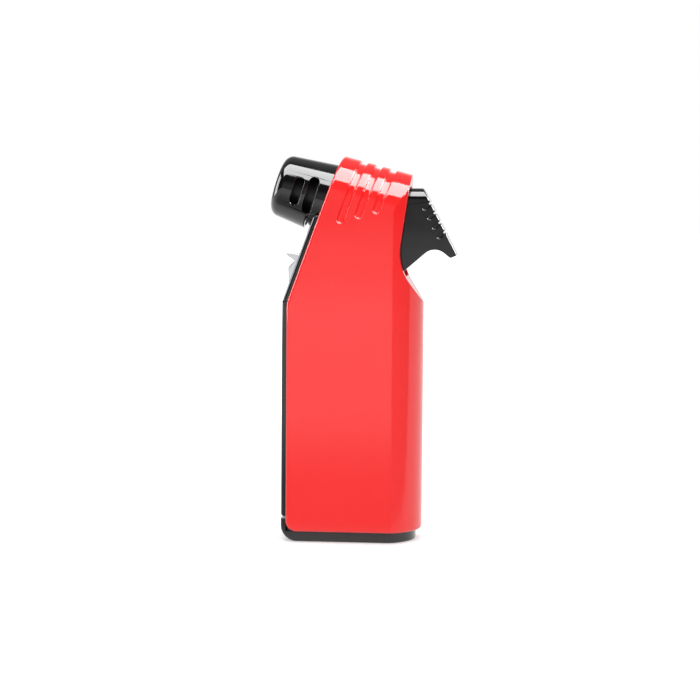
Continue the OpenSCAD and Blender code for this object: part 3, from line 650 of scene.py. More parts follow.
def paint(name, colour, other, mottle, rough, smoother, texture, depth, **settings):
    """A finish of two close colours in patches, with uneven gloss and a fine surface texture.

    mottle and texture are patch sizes per metre, rough and smoother are the two roughness values, and
    depth is the height of the texture in metres. What is the same all over goes on the shader itself.
    """
    made, tree, shader = new_material(name)
    place = tree.nodes.new("ShaderNodeTexCoord").outputs["Object"]
    patches = add(tree, "ShaderNodeTexNoise", Vector=place, Scale=mottle, Detail=3).outputs[0]
    haze = add(tree, "ShaderNodeTexNoise", Vector=place, Scale=mottle * 2.3, Detail=5).outputs[0]
    grain = add(tree, "ShaderNodeTexNoise", Vector=place, Scale=texture, Detail=2).outputs[0]
    feed_all(
        shader, Base_Color=mix(tree, patches, colour, other),
        Roughness=ramp(tree, haze, 0.3, 0.7, smoother, rough, "LINEAR"),
        Normal=add(tree, "ShaderNodeBump", Strength=1, Distance=depth, Height=grain).outputs[0], **settings,
    )
    return made


finishes = {name: paint(name, *values, **rest) for name, *values, rest in (
    ("red_lacquer", (0.93, 0.021, 0.021), (0.90, 0.018, 0.018), 60, 0.1, 0.06, 700, 0.3e-6, {"IOR": 1.5}),
    ("black_gloss", (0.0032, 0.003, 0.0036), (0.0044, 0.0042, 0.0048), 80, 0.1, 0.05, 900, 0.3e-6,
     {"IOR": 1.5}),
    ("black_matte", (0.006, 0.0055, 0.0062), (0.010, 0.0095, 0.0102), 120, 0.45, 0.32, 2500, 2e-6,
     {"Specular_IOR_Level": 0.3}),
    ("smoke_tank", (0.10, 0.11, 0.12), (0.13, 0.14, 0.15), 60, 0.2, 0.1, 800, 1e-6,
     {"Transmission_Weight": 0.6}),
    ("alloy", (0.45, 0.45, 0.46), (0.52, 0.52, 0.53), 150, 0.48, 0.34, 3000, 3e-6, {"Metallic": 1}),
    ("steel", (0.56, 0.56, 0.57), (0.48, 0.48, 0.49), 120, 0.32, 0.2, 2400, 1.5e-6, {"Metallic": 1}),
    ("chrome", (0.60, 0.61, 0.63), (0.55, 0.56, 0.58), 90, 0.12, 0.06, 900, 0.5e-6, {"Metallic": 1}),
    ("brass", (0.60, 0.40, 0.13), (0.50, 0.32, 0.10), 140, 0.32, 0.2, 2200, 1.5e-6, {"Metallic": 1}),
    ("rubber_black", (0.012, 0.012, 0.013), (0.02, 0.02, 0.021), 200, 0.7, 0.55, 2600, 4e-6, {}),
    ("hose_grey", (0.25, 0.26, 0.28), (0.31, 0.32, 0.34), 150, 0.5, 0.38, 2000, 3e-6, {}),
    ("white_plastic", (0.76, 0.75, 0.70), (0.70, 0.69, 0.64), 90, 0.4, 0.28, 1800, 2e-6, {}),
    ("wire_red", (0.42, 0.015, 0.01), (0.36, 0.012, 0.008), 200, 0.45, 0.35, 2600, 2e-6, {}),
    ("ceramic", (0.82, 0.79, 0.70), (0.74, 0.70, 0.62), 220, 0.42, 0.3, 2600, 3e-6, {}),
)}


# ---------- the body's own surfaces ----------

def side_outline(front, rest, floor):
    """The side view of the body below its arched top, each edge moved in by its own distance."""
    crest = Vector((0, crest_z)) + 5 * MM * turn(crest_tilt)
    waist = Vector((waist_x, waist_z)) - rest * out(waist_lean)
    shoulder = Vector((back_x, shoulder_z)) - rest * out(-shoulder_lean)
    back = Vector((back_x - rest, 0))
    low = cover_z + floor
    return rounded([
        ((cover_x + front, low), bottom_corner_r),
        (front_bend(front), bend_r - front),
        (meet(front_foot(front), turn(slant), crest, out(crest_tilt)), 0),
        (meet(crest, out(crest_tilt), waist, turn(waist_lean)), 0),
        (meet(waist, turn(waist_lean), shoulder, turn(-shoulder_lean)), waist_r + rest),
        (meet(shoulder, turn(-shoulder_lean), back, Vector((0, 1))), max(2 * MM - rest, 0)),
        ((back_x - rest, low), 0),
    ], step=radians(4))


def plan_solid(inset):
    """The body seen from above, with its curved back. The arch cuts its two flat sides."""
    r = back_r - inset
    outline = [Vector((cover_x - 12 * MM, -r))] + arc((back_centre_x, 0), r, -pi / 2, pi / 2, radians(7))
    return prism(outline + [Vector((cover_x - 12 * MM, r))], -20 * MM, crest_z + 20 * MM)


def arch_solid(inset):
    """The hood's arched section, run along the crest."""
    r = half_w - inset
    low = half_w + crest_z + 40 * MM
    outline = arc((half_w, 0), r, pi / 2, 3 * pi / 2, radians(5)) + [Vector((low, -r)), Vector((low, r))]
    return prism(outline, -80 * MM, 80 * MM, crest_frame)


def body_solid(front, rest, floor, name="tool"):
    solid = prism(side_outline(front, rest, floor), -half_w - 5 * MM, half_w + 5 * MM, side_on, name)
    return keep_inside(solid, plan_solid(rest), arch_solid(rest))


def front_side(inset):
    """All that lies in front of a line at this distance in from the cover's front edge."""
    far = front_foot(inset) + 75 * MM * turn(slant)
    outline = rounded([
        ((cover_x + inset, -5 * MM), 0),
        (front_bend(inset), bend_r - inset),
        (far, 0),
        ((frame_x - 40 * MM, far.y), 0),
        ((frame_x - 40 * MM, -5 * MM), 0),
    ], step=radians(2))
    return prism(outline, -half_w - 8 * MM, half_w + 8 * MM, side_on)


def from_front(point):
    """How far behind the cover's front edge a point lies."""
    if point.z < front_bend(0).y:
        return point.x - cover_x
    return (Vector((point.x, point.z)) - front_foot(0)).dot(out(slant))


def under_crest(point):
    """How far below the crest line a point lies."""
    return (Vector((0, crest_z)) - Vector((point.x, point.z))).dot(turn(crest_tilt))


# ---------- cover ----------

def grooves():
    """The hood's grooves as one row of channels that stay in the outermost skin."""
    foot = front_foot(groove_first)
    low = foot + turn(slant) * (groove_end_z - foot.y) / cos(slant)
    end = [low + out(slant) * p.x + turn(slant) * p.y for p in arc((0, 0), groove_w / 2, -pi, 0, radians(12))]
    top = 30 * MM * turn(slant)
    channel = prism(end + [end[-1] + top, end[0] + top], -half_w - 5 * MM, half_w + 5 * MM, side_on)
    across = groove_pitch * out(slant)
    step = across + turn(slant) * (groove_rise - across.y) / cos(slant)
    cuts = grow("grooves", "row", Pattern=channel, Count=groove_count, Step=(step.x, 0, step.y))
    drop(channel)
    return cut_away(cuts, arch_solid(groove_d))


def trigger_window(gap, low, first_x):
    """The trigger's outline seen from behind, grown by a gap, carried out through the back."""
    h = trigger_half + gap
    r = trigger_round + gap
    outline = rounded([
        ((-h, low), min(gap, 0.5 * MM)), ((h, low), min(gap, 0.5 * MM)),
        ((h, trigger_top + gap), r), ((-h, trigger_top + gap), r),
    ])
    backwards = Matrix(((0, 0, 1, 0), (1, 0, 0, 0), (0, 1, 0, 0), (0, 0, 0, 1)))
    return prism(outline, first_x, first_x + 40 * MM, backwards)


def skin_depth(point, inset=0):
    """How deep a point lies under the arched and curved outer skin, or under a layer of it."""
    r = half_w - inset
    down = under_crest(point) - inset
    arch = r - sqrt(max(r - down, 0) ** 2 + point.y ** 2)
    back = back_r - inset - sqrt(max(point.x - back_centre_x, 0) ** 2 + point.y ** 2)
    return arch, back


def cover_edge(point):
    """The rounding of each of the cover's long edges, the same all along each smooth line."""
    near = 0.1 * MM
    arch, back = skin_depth(point)
    corner = Vector((point.x - cover_x - bottom_corner_r, point.z - cover_z - bottom_corner_r))
    at_corner = corner.x < 0 and corner.y < 0 and corner.length > bottom_corner_r - near
    if from_front(point) < near or point.z < cover_z + near or at_corner:
        return outer_edge_r if min(arch, back) < wall / 2 else inner_edge_r
    if arch < near and back < near:
        return crease_r
    return rim_r if min(arch, back) < near else 0


def cover_cut_edge(point):
    """The rounding of the edges that the grooves leave, at the surface and along their floors."""
    outside = point.x > waist_x - 2 * MM or point.z < groove_end_z - 2 * MM
    return 0 if outside or skin_depth(point)[0] > groove_d + 0.1 * MM else groove_edge_r


def make_cover():
    """The one-piece cover: a shell open along its front and underneath, with the trigger's window."""
    cover = body_solid(0, 0, 0, "cover")
    cut_away(
        cover, body_solid(-10 * MM, wall, -10 * MM),
        trigger_window(play + 0.2 * MM, opening_z, back_x - 12 * MM),
    )
    round_edges(cover, outer_edge_r, cover_edge, segments=5, close=0.06 * MM)
    cut_away(cover, grooves())
    round_edges(cover, groove_edge_r, cover_cut_edge, from_angle=35)
    fit_in(cover, "outer_cover")


# ---------- frame rail and base ----------

def make_rail():
    """The rail along the front, with its foot under the tank, the lock's slot and the nozzle's seat."""
    edge_r, slot_edge_r = 0.8 * MM, 0.2 * MM
    rail = keep_inside(
        cut_away(front_side(frame_in), front_side(-proud)),
        box((frame_x - beyond, -frame_half, notch_z + notch / 2), (beyond, frame_half, frame_top)),
    )
    rail.name = "rail"

    def front_rim(point):
        return edge_r if from_front(point) < 0.1 * MM - proud else 0

    round_edges(rail, edge_r, front_rim, segments=5)
    foot_x = cover_x + 0.4 * MM
    web_x = cover_x + frame_in - 0.1 * MM
    web_half = frame_half - MM
    foot = keep_inside(
        box((foot_x, -frame_half, floor_z), (beyond, frame_half, tank_z)), plan_solid(wall + fit),
    )
    web = box((foot_x, -web_half, floor_z), (web_x, web_half, notch_z + MM))
    spring_block = box(
        (proud + 0.5 * MM, -2 * MM, lock_block_low),
        (lock_foot_in + lock_foot_t + 0.1 * MM, 2 * MM, lock_block_low + lock_block_len), slope_frame,
    )
    for part in (foot, web, spring_block):
        combine(rail, part, "UNION")
    slot_half = lock_neck_half + play
    slot_high = lock_neck_low + lock_neck_len + lock_travel + play
    lock_slot = box(
        (-5 * MM, -slot_half, lock_neck_low - play),
        (lock_foot_in - 0.15 * MM, slot_half, slot_high), slope_frame,
    )
    cut_away(
        rail,
        rod(collar_r + fit, -beyond, 10 * MM, nozzle_frame, sides=120), lock_slot,
        rod(bore_r, 0, beyond, upright(refill_x), sides=48),
        rod(bore_r, 0, beyond, upright(dial_x), sides=48),
    )

    def slot_rim(point):
        return slot_edge_r if from_front(point) < play and point.z > lock_z - 12 * MM else 0

    round_edges(rail, slot_edge_r, slot_rim, from_angle=35)
    fit_in(rail, "front_frame")


def at_screws(name, tool):
    """A tool repeated at each base screw and joined into one."""
    tools = grow(name, "spread", [(x, y, 0) for x, y in screw_places], Pattern=tool)
    drop(tool)
    return tools


def make_base():
    """The base: a toe in front of the cover, a band that stands back from it, and the plate inside."""
    toe_z = notch_z - notch / 2
    edge_r, toe_edge_r, opening_edge_r = 0.5 * MM, 0.25 * MM, 0.12 * MM
    near = 0.05 * MM
    side = rounded([
        ((frame_x, 0), 4.6 * MM), ((frame_x, toe_z), 0), ((cover_x - fit, toe_z), 0),
        ((cover_x - fit, cover_z - fit), 0), ((back_x, cover_z - fit), 0),
        ((back_x, 0), 2.4 * MM),
    ])
    base = keep_inside(prism(side, -frame_half, frame_half, side_on, "base"), plan_solid(wall + fit))

    def outer_edge(point):
        if point.x < cover_x + 0.2 * MM and point.z > toe_z - 0.2 * MM:
            return toe_edge_r
        under_cover = point.x > cover_x - play and point.z > cover_z - play
        return edge_r if min(skin_depth(point, wall + fit)) < 0.1 * MM and not under_cover else 0

    round_edges(base, edge_r, outer_edge)
    plate_half = frame_half - MM
    plate = keep_inside(
        box((cover_x + 0.4 * MM, -plate_half, MM), (back_x - 2.6 * MM, plate_half, floor_z)),
        plan_solid(wall + fit + MM),
    )
    combine(base, plate, "UNION")
    cut_away(
        base,
        rod(port_recess_r, -MM, 2.2 * MM, upright(refill_x), sides=64),
        rod(bore_r, -MM, 9 * MM, upright(refill_x), sides=48),
        rod(dial_recess_r, -MM, 2.6 * MM, upright(dial_x), sides=80),
        rod(bore_r, -MM, 9 * MM, upright(dial_x), sides=48),
        at_screws("heads", rod(screw_head_r + fit, -MM, MM, sides=40)),
        at_screws("shanks", rod(screw_r + fit, -MM, 9 * MM, sides=32)),
    )
    openings = [(refill_x, 0, port_recess_r), (dial_x, 0, dial_recess_r)]
    openings += [(x, y, screw_head_r + fit) for x, y in screw_places]

    def opening_rim(point):
        inside = [sqrt((point.x - x) ** 2 + (point.y - y) ** 2) - r < near for x, y, r in openings]
        return opening_edge_r if point.z < near and any(inside) else 0

    round_edges(base, opening_edge_r, opening_rim, segments=3, from_angle=35)
    for vertex in base.data.vertices:
        vertex.co.z = max(vertex.co.z, 0)
    shade(base)
    fit_in(base, "base_cap")


# ---------- nozzle ----------

def shroud_at(along):
    return shroud_r - along * tan(shroud_taper)


def air_slot(along, up, down):
    """One air slot right through the shroud, round at both ends."""
    w = slot_w / 2
    outline = arc((up - w, along), w, -pi / 2, pi / 2, radians(8))
    outline += arc((w - down, along), w, pi / 2, 3 * pi / 2, radians(8))
    return prism(outline, -20 * MM, 20 * MM, nozzle_frame @ side_on)


def make_shroud():
    """The tapered shroud, thin behind its seat, cut by the air slots and over the top of the rail."""
    inner = collar_r + fit
    seat = Vector((shroud_at(-shroud_seat), -shroud_seat))
    tip = Vector((shroud_at(shroud_front), shroud_front))
    neck = seat.x + shroud_wall - wall
    throat = shroud_front - lip_round
    edge_r = 0.3 * MM
    outline = rounded([
        ((mouth_r, shroud_front - lip), 0),
        ((mouth_r + 0.6 * MM, shroud_front - lip), 0),
        ((shroud_at(throat) - shroud_wall - play, throat), 0),
        ((inner, -collar_front), 0),
        ((inner, -shroud_back), 0),
        ((neck, -shroud_back), 0),
        ((neck, -shroud_seat - 0.2 * MM), 0),
        (seat, 0.25 * MM),
        (tip, lip_round),
        ((mouth_r, shroud_front), 0.35 * MM),
    ], step=radians(5))
    shroud = turned("shroud", outline, "black_gloss", nozzle_frame, sides=192)
    rail_top = cut_away(
        box((nozzle_centre.x - 10 * MM, -beyond, 0), (beyond, beyond, frame_top + play)),
        front_side(-proud - 2.2 * MM),
    )
    cut_away(shroud, rail_top, *[air_slot(*slot) for slot in air_slots])
    round_edges(shroud, edge_r, segments=3, from_angle=24)
    fit_in(shroud, "nozzle_shroud")


# ---------- trigger ----------

def trigger_side():
    """The trigger seen from the side: the pad, its tip, the tail under it and the arm to the nose."""
    tip = Vector((pad_x, trigger_top)) + pad_len * turn(pi - pad_lean)
    return rounded([
        ((pivot.x - 2.6 * MM, trigger_top - 0.2 * MM), 3 * MM),
        (Vector((pad_x, trigger_top)) - 2 * MM * turn(pi - pad_lean), 0), (tip, 0),
        (tip - Vector((1.9, 0.9)) * MM, 0.8 * MM), (tip + Vector((-6.4, 2.7)) * MM, 4.2 * MM),
        ((pivot.x + 1.6 * MM, opening_z + 0.2 * MM), 0),
        ((pivot.x + 0.4 * MM, opening_z + 3 * MM), 1.5 * MM), ((pivot.x, nose_z - 2 * MM), 0),
        ((pivot.x, nose_z + 6 * MM), 2 * MM), ((pivot.x - 2.6 * MM, nose_z + 9 * MM), MM),
    ], step=radians(5))


def grips():
    """The row of grip cuts: one shallow groove across the pad with a notch down each side."""
    notch_r, notch_depth, groove_half = 0.6 * MM, 2.2 * MM, 0.3 * MM
    first = Vector((pad_x, trigger_top)) + grip_start * turn(pi - pad_lean)
    lean = Matrix.Rotation(3 * pi / 2 - pad_lean - grip_tilt, 4, "Y")
    cut = box((-groove_half, -trigger_half * 2, -MM), (groove_half, trigger_half * 2, 0.5 * MM))
    outline = arc((0, notch_depth), notch_r, 0, pi, radians(12))
    outline += [Vector((-notch_r, -MM)), Vector((notch_r, -MM))]
    sideways = Matrix(((1, 0, 0, 0), (0, 0, 1, 0), (0, 1, 0, 0), (0, 0, 0, 1)))
    for side in (-1, 1):
        notch_y = side * (trigger_half + 0.55 * MM)
        combine(cut, prism(outline, notch_y - MM, notch_y + MM, sideways), "UNION")
    cut.data.transform(Matrix.Translation((first.x, 0, first.y)) @ lean)
    step = grip_pitch * turn(pi - pad_lean)
    cuts = grow("grips", "row", Pattern=cut, Count=grip_count, Step=(step.x, 0, step.y))
    drop(cut)
    return cuts


def leg_side():
    """The leg under the nose, seen from the side."""
    first = cam_start - radians(2) - pi / 2
    last = cam_start + travel - pi / 2
    outline = [Vector((pivot.x + x * MM, nose_z + z * MM)) for x, z in ((-1.3, 0), (-0.3, -4.6))]
    outline.append(Vector((cam_x + 0.4 * MM, nose_z - 7 * MM)))
    outline += arc((pivot.x, pivot.z), cam_reach, first, last, radians(1.7))
    return outline + [
        Vector((pivot.x + 1.4 * MM, opening_z + 0.4 * MM)), Vector((pivot.x + 0.3 * MM, opening_z + 3 * MM)),
        Vector((pivot.x + 0.3 * MM, nose_z)),
    ]


def make_trigger():
    edge_r, grip_edge_r = 0.4 * MM, 0.15 * MM
    trigger = prism(trigger_side(), -half_w, half_w, side_on, "thumb_trigger")
    keep_inside(trigger, trigger_window(0, opening_z - 9 * MM, 0))
    round_edges(trigger, edge_r, from_angle=25)
    leg = prism(leg_side(), -leg_half, leg_half, side_on)
    combine(leg, rod(nose_r, -leg_half, leg_half, across(pivot.x, nose_z), sides=40), "UNION")
    combine(trigger, leg, "UNION")
    cut_away(trigger, rod(trigger_bore_r, -beyond, beyond, across(pivot.x, pivot.z), sides=48), grips())

    def grip_rim(point):
        return grip_edge_r if point.x > pad_x - MM else 0

    round_edges(trigger, grip_edge_r, grip_rim, segments=3, from_angle=35)
    fit_in(trigger, "trigger", "trigger")


# ---------- flame lock ----------

def make_lock():
    """The slider: a thumb catch with a neck through the rail's slot and a foot behind it."""
    edge_r = 0.2 * MM
    profile = rounded([(Vector((x, z)) * MM, r * MM) for x, z, r in (
        (-0.1, -4.2, 0), (-1, -4.2, 0.3), (-2.4, -0.7, 0.6), (-1.2, 1.9, 0.5), (-4, 2.6, 0.2), (-4, 3.4, 0.2),
        (-1.2, 4, 0.8), (-0.1, 4, 0),
    )], step=radians(6))
    slider = prism(profile, -lock_half, lock_half, slope_frame @ side_on, "slider")
    neck = box(
        (-0.5 * MM, -lock_neck_half, lock_neck_low),
        (lock_foot_in + 0.6 * MM, lock_neck_half, lock_neck_low + lock_neck_len), slope_frame,
    )
    foot = box(
        (lock_foot_in, -lock_half, lock_neck_low - 0.9 * MM),
        (lock_foot_in + lock_foot_t, lock_half, lock_neck_low + lock_neck_len + 0.9 * MM), slope_frame,
    )
    for part in (neck, foot):
        combine(slider, part, "UNION")
    round_edges(slider, edge_r, segments=3)
    fit_in(slider, "lock_slider", "flame_lock")


# ---------- burner ----------

at_electrode = nozzle_frame @ Matrix.Translation((electrode_up, 0, 0))


def make_collar():
    """The collar that carries the flame tube, bored for the electrode's sleeve."""
    collar = bush(
        "collar", "black_matte", flame_tube_r + fit, collar_r, -collar_back, -collar_front, 0.35 * MM,
        nozzle_frame, 144,
    )
    shade(cut_away(collar, rod(sleeve_r + fit, -20 * MM, 0, at_electrode, sides=40)))
    fit_in(collar, "nozzle_collar")


def make_flame_tube():
    low = 0.5 * MM - collar_back
    tube = bush(
        "flame_tube", "black_matte", flame_tube_r - flame_tube_t, flame_tube_r, low, low + flame_tube_len,
        0.2 * MM, nozzle_frame, 144,
    )
    fit_in(tube, "flame_tube")


def make_flame_grid():
    """The ceramic disc that the gas burns on, with its holes in rings round the middle one."""
    edge_r = 0.1 * MM
    grid = rod(flame_tube_r - flame_tube_t - 0.05 * MM, -flame_grid_t, 0, nozzle_frame, "flame_grid")
    cut_away(grid, rod(0.7 * MM, -3 * MM, 2 * MM, nozzle_frame, sides=28))
    for r, ring_r, count in ((0.45 * MM, 1.9 * MM, 6), (0.4 * MM, 3.4 * MM, 12)):
        hole = rod(r, -3 * MM, 2 * MM, sides=28, name="hole")
        cut_away(grid, grow("holes", "ring", place=nozzle_frame, Pattern=hole, Count=count, Radius=ring_r))
        drop(hole)
    round_edges(grid, edge_r, segments=2, from_angle=40)
    fit_in(grid, "flame_grid", slot="ceramic")


def make_electrode():
    """The electrode's sleeve, and the wire in it that bends in over the flame."""
    sleeve = bush(
        "electrode_sleeve", "ceramic", sleeve_bore_r, sleeve_r, -14.5 * MM, -0.5 * MM, 0.25 * MM,
        at_electrode, 40,
    )
    fit_in(sleeve, "electrode_sleeve")
    bend_in = 1.2 * MM
    bend = arc((-bend_in, 3.2 * MM), bend_in, 0, pi / 2, radians(15))
    points = [(0, 0, -16 * MM), (0, 0, -8 * MM), (0, 0, 0)]
    points += [(p.x, 0, p.y) for p in bend] + [(-2.3 * MM, 0, 4.4 * MM), (-3.35 * MM, 0, 4.4 * MM)]
    sweep("electrode", points, electrode_r, 16, 60, at_electrode)


# ---------- wire and feed tube ----------

def nozzle_point(along, up=0, y=0):
    """A place by its distance along the nozzle, its height over the axis and its way across."""
    return nozzle_frame @ Vector((up, y, along))


def spline(points, steps=4):
    """A smooth curve through points that turns evenly at each of them."""
    def heading(i):
        before = points[i] - points[max(i - 1, 0)]
        after = points[min(i + 1, len(points) - 1)] - points[i]
        return (before.normalized() + after.normalized()).normalized()

    curve = []
    for i in range(len(points) - 1):
        p, q = points[i], points[i + 1]
        gap = (q - p).length
        u, v = gap * heading(i), gap * heading(i + 1)
        for k in range(steps):
            t = k / steps
            curve.append(
                (2 * t ** 3 - 3 * t * t + 1) * p + (t ** 3 - 2 * t * t + t) * u
                + (3 * t * t - 2 * t ** 3) * q + (t ** 3 - t * t) * v
            )
    return curve + [points[-1]]


def make_lines():
    """The wire from the igniter to the electrode, and the tube that feeds the outlet valve."""
    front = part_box("piezo_body")[0].x
    sweep("ignition_wire", spline([
        Vector((front + 2 * MM, 0, nose_z)), Vector((front + 0.2 * MM, 0, nose_z)),
        Vector((front - 0.6 * MM, 0, nose_z)), Vector((front - 1.2 * MM, -2.4 * MM, nose_z + 0.8 * MM)),
        Vector((front + MM, -5.6 * MM, nose_z + 3.6 * MM)),
        *[nozzle_point(along * MM, up * MM, y * MM) for along, up, y in (
            (-13.3, -7, -6.1), (-13.9, 0, -6.3), (-16.6, 4.6, -5), (-18.4, 6.85, -2), (-17.6, 6.85, 0),
            (-16.12, 6.85, 0),
        )],
    ], 6), 0.45 * MM, 12, 160)
    sweep("feed_tube", spline([Vector(p) * MM for p in (
        (-7, 0, 15.05), (-7, 0, 19), (-6.5, 0, 27), (-4.5, 0, 40), (-4, 0, 50), (-4, 0, 54.95),
    )], 6), 1.1 * MM, 24, 60)


# ---------- springs ----------

def make_valve_springs():
    """The two springs that stand over their valves, with their fixed ends at the top."""
    wire_r = 0.16 * MM
    for name, foot, height, coil_r, turns, joint, keep in (
        ("refill_spring", (refill_x, 0, 6.6 * MM), 3.6 * MM, 1.5 * MM, 4, "refill_press", 0.58),
        ("outlet_spring", (outlet_x, 0, 57.6 * MM), 5 * MM, 1.65 * MM, 5, "outlet_lift", 0.83),
    ):
        foot = Vector(foot)
        spring = wind(name, Matrix.Translation(foot), height, coil_r, wire_r, turns)
        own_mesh(spring)


def make_return_spring():
    """The spring round the igniter's plunger, which lies along X with its fixed end forward."""
    foot = Vector((5.52 * MM, 0, nose_z))
    place = Matrix.Translation(foot) @ Matrix.Rotation(pi / 2, 4, "Y")
    spring = wind("return_spring", place, 3.31 * MM, 3.5 * MM, 0.22 * MM, 3)
    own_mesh(spring)


# ---------- underside ----------

def make_screws():
    """The four base screws: one turned and cross-slotted screw, set in each corner."""
    low, head_z, chamfer_z, tip_z = 0.25 * MM, MM, 5.9 * MM, 6.2 * MM
    arm_half, arm_len, arm_z = 0.22 * MM, 0.6 * screw_head_r, 0.7 * MM
    outline = rounded([
        ((0, low), 0), ((screw_head_r, low), 0.3 * MM), ((screw_head_r, head_z), 0),
        ((screw_r, head_z), 0), ((screw_r, chamfer_z), 0),
        ((screw_r - 0.3 * MM, tip_z), 0), ((0, tip_z), 0),
    ], step=radians(15))
    screw = turned("screw", outline, "steel", sides=48)
    for angle in (0, pi / 2):
        arm = box((-arm_len, -arm_half, -MM), (arm_len, arm_half, arm_z), Matrix.Rotation(angle, 4, "Z"))
        cut_away(screw, arm)
    fit_in(shade(at_screws("base_screws", screw)), "base_screws")


def make_dial():
    """The flame dial: a flat knob with a notched rim and a slot for a screwdriver."""
    low, high, sunk = 0.5 * MM, 2.3 * MM, 0.15 * MM
    needle_r, dish_r, edge_r = MM, 3.9 * MM, 0.1 * MM
    slot_half, slot_len, slot_z = 0.55 * MM, 0.7 * dial_r, 1.3 * MM
    outline = rounded([
        ((needle_r, low + sunk), 0), ((dish_r, low + sunk), 0),
        ((dish_r + 0.2 * MM, low), 0), ((dial_r, low), 0.35 * MM),
        ((dial_r, high), 0.3 * MM), ((needle_r, high), 0),
    ], step=radians(15))
    dial = turned("flame_dial", outline, "black_matte", sides=120)
    bite = rod(0.7 * MM, -MM, 5 * MM, sides=24, name="bite")
    bites = grow("bites", "ring", Pattern=bite, Count=12, Radius=dial_r + 0.35 * MM)
    drop(bite)
    cut_away(dial, bites, box((-slot_len, -slot_half, -MM), (slot_len, slot_half, slot_z)))
    round_edges(dial, edge_r, segments=2, from_angle=40)
    dial.data.transform(upright(dial_x))
    fit_in(dial, "flame_dial", "flame_dial")


def make_refill():
    """The filling valve, turned from brass, with its six-sided nut inside the tank."""
    port_r, flange_r, neck_r, throat_r, chamber_r = 2 * MM, 3.6 * MM, 2.6 * MM, 1.15 * MM, 1.9 * MM
    low, flange_z, top_z = 0.8 * MM, 2.2 * MM, 12 * MM
    chamber_low, chamber_high = 5.8 * MM, 10.2 * MM
    nut_r, nut_low, nut_high = 3.5 * MM, 8.3 * MM, 9.7 * MM
    outline = rounded([
        ((port_r, low), 0.25 * MM), ((flange_r, low), 0.25 * MM),
        ((flange_r, flange_z), 0.1 * MM), ((neck_r, flange_z), 0),
        ((neck_r, top_z), 0.2 * MM), ((throat_r, top_z), 0),
        ((throat_r, chamber_high), 0), ((chamber_r, chamber_high), 0),
        ((chamber_r, chamber_low), 0), ((throat_r, chamber_low), 0),
        ((throat_r, 3.3 * MM), 0), ((port_r, 3 * MM), 0),
    ], step=radians(15))
    place = upright(refill_x)
    valve = turned("refill_valve", outline, "brass", place, 72)
    nut = prism(arc((0, 0), nut_r, 0, 5 * pi / 3, pi / 3), nut_low, nut_high, place)
    cut_away(nut, rod(neck_r - 0.2 * MM, 0, 20 * MM, place))
    fit_in(shade(combine(valve, nut, "UNION")), "refill_valve")


for make in (
    make_cover, make_rail, make_base, make_shroud, make_trigger, make_lock, make_collar, make_flame_tube,
    make_flame_grid, make_electrode, make_lines, make_valve_springs, make_return_spring, make_screws,
    make_dial, make_refill,
):
    make()

# Nodes that show their own solids get the finish that the record names for them.
for name, node in frame["nodes"].items():
    node.data.materials.clear()
    node.data.materials.append(finishes[slots[name]])


# ---------- studio ----------

def studio_floor():
    """A pale floor that keeps the shadow near the torch and glows white further out."""
    size = 6.0
    bm = bmesh.new()
    corners = ((-size, -size), (size, -size), (size, size), (-size, size))
    bm.faces.new([bm.verts.new((x, y, -0.02 * MM)) for x, y in corners])
    floor = new_piece("floor", bm)
    made, tree, shader = new_material("floor")
    rays = tree.nodes.new("ShaderNodeLightPath").outputs
    place = tree.nodes.new("ShaderNodeNewGeometry").outputs["Position"]
    away = add(tree, "ShaderNodeVectorMath", {"operation": "LENGTH"}, Vector=place).outputs["Value"]
    fade = ramp(tree, away, 0.12, 0.5, 0.25, 1, "LINEAR")
    far = ramp(tree, away, 0.1, 0.35, 0.03, 0.85)
    spot = add(tree, "ShaderNodeSeparateXYZ", Vector=place).outputs
    behind = ramp(tree, spot["Y"], -0.05, -0.01, 0.03, 0.9)
    side = ramp(tree, spot["X"], 0.03, 0.16, 1, 0.06)
    front = sum_up(tree, "MULTIPLY", far, side)
    shine = sum_up(tree, "MULTIPLY", rays["Is Glossy Ray"], sum_up(tree, "MAXIMUM", front, behind))
    glow = sum_up(tree, "ADD", sum_up(tree, "MULTIPLY", rays["Is Camera Ray"], fade), shine)
    feed_all(
        shader, Base_Color=mix(tree, rays["Is Camera Ray"], (0.45, 0.45, 0.45), (0.86, 0.86, 0.86)),
        Roughness=1, Specular_IOR_Level=0, Emission_Color=(1, 1, 1, 1), Emission_Strength=glow,
    )
    floor.data.materials.append(made)


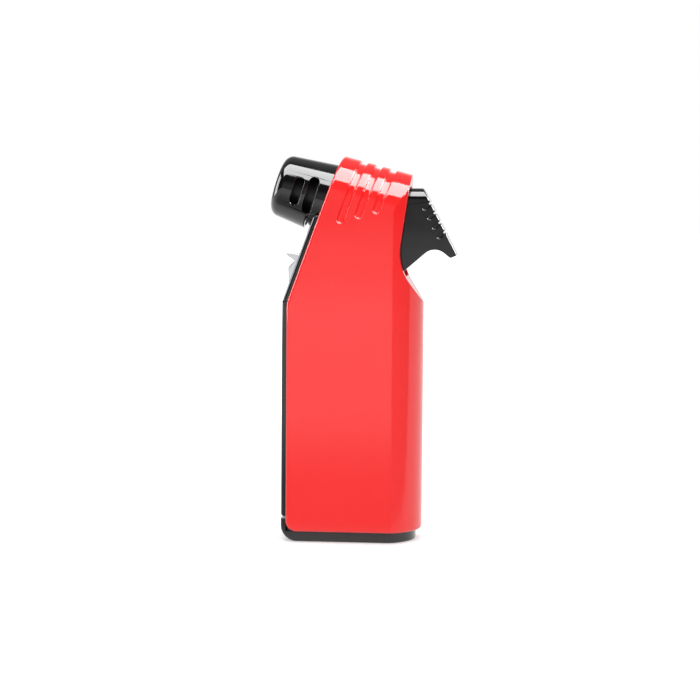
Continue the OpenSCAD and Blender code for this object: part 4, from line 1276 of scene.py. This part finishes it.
def studio_world():
    """A white surrounding, brighter in reflections straight ahead and behind than to the sides."""
    world = bpy.data.worlds.new("studio")
    bpy.context.scene.world = world
    world.use_nodes = True
    tree = world.node_tree
    sky = tree.nodes["Background"]
    rays = tree.nodes.new("ShaderNodeLightPath").outputs
    towards = tree.nodes.new("ShaderNodeTexCoord").outputs["Generated"]
    parts = add(tree, "ShaderNodeSeparateXYZ", Vector=towards).outputs
    front = ramp(tree, parts["Y"], -0.96, -0.88, 0.55, 0.06)
    behind = ramp(tree, parts["Y"], -0.1, 0.4, 0.06, 0.4)
    horizon = ramp(tree, parts["Y"], 0.75, 0.97, 0, 0.6)
    near = sum_up(tree, "MAXIMUM", front, sum_up(tree, "ADD", behind, horizon))
    shine = sum_up(tree, "MAXIMUM", rays["Is Glossy Ray"], rays["Is Transmission Ray"])
    grey = 0.6
    seen = sum_up(tree, "ADD", grey, sum_up(tree, "MULTIPLY", shine, sum_up(tree, "SUBTRACT", near, grey)))
    strength = sum_up(tree, "MAXIMUM", seen, rays["Is Camera Ray"])
    feed_all(sky, Color=(1, 1, 1, 1), Strength=strength)


def lamp(name, place, aim, size, radiance, glossy, diffuse):
    """An area lamp with a stated radiance that lights either reflections, surfaces or both."""
    light = bpy.data.lights.new(name, "AREA")
    light.shape = "RECTANGLE"
    light.size, light.size_y = size
    light.energy = radiance * pi * size[0] * size[1]
    made = new_object(name, light)
    made.location = place
    made.rotation_euler = (Vector(aim) - Vector(place)).to_track_quat("-Z", "Y").to_euler()
    made.visible_camera = False
    made.visible_glossy = glossy
    made.visible_diffuse = diffuse
    made.visible_transmission = False


def studio_camera():
    azimuth, elevation, roll = radians(5), radians(4.5), radians(0.45)
    distance = 0.52
    target = Vector((-1.3, 0, 53.75)) * MM
    back = Vector((sin(azimuth) * cos(elevation), -cos(azimuth) * cos(elevation), sin(elevation)))
    data = bpy.data.cameras.new("camera")
    data.lens = 93.6
    data.sensor_width = 36
    data.clip_start = 0.01
    data.clip_end = 50
    camera = new_object("camera", data)
    camera.location = target + back * distance
    level = back.to_track_quat("Z", "Y")
    camera.rotation_euler = (level @ Matrix.Rotation(roll, 3, "Z").to_quaternion()).to_euler()
    bpy.context.scene.camera = camera


bpy.context.scene.view_settings.view_transform = "Standard"
studio_floor()
studio_world()
lamp("softbox", (0, -0.28, 0.75), (0, -0.28, 0), (1.0, 0.62), 15, True, False)
lamp("left_card", (-1.0, 0, 0.25), (0, 0, 0.06), (0.6, 0.9), 10, True, False)
lamp("right_card", (0.9, -0.1, 0.62), (0.02, 0, 0.09), (1.0, 0.6), 40, True, False)
lamp("front_fill", (0.1, -1.2, 0.6), (0, 0, 0.05), (1.6, 1.2), 1.8, False, True)
lamp("top_fill", (0, 0.1, 1.3), (0, 0, 0), (1.4, 1.4), 1.9, False, True)
lamp("rear_fill", (-0.1, 1.2, 0.6), (0, 0, 0.05), (1.6, 1.2), 0.7, False, True)
studio_camera()
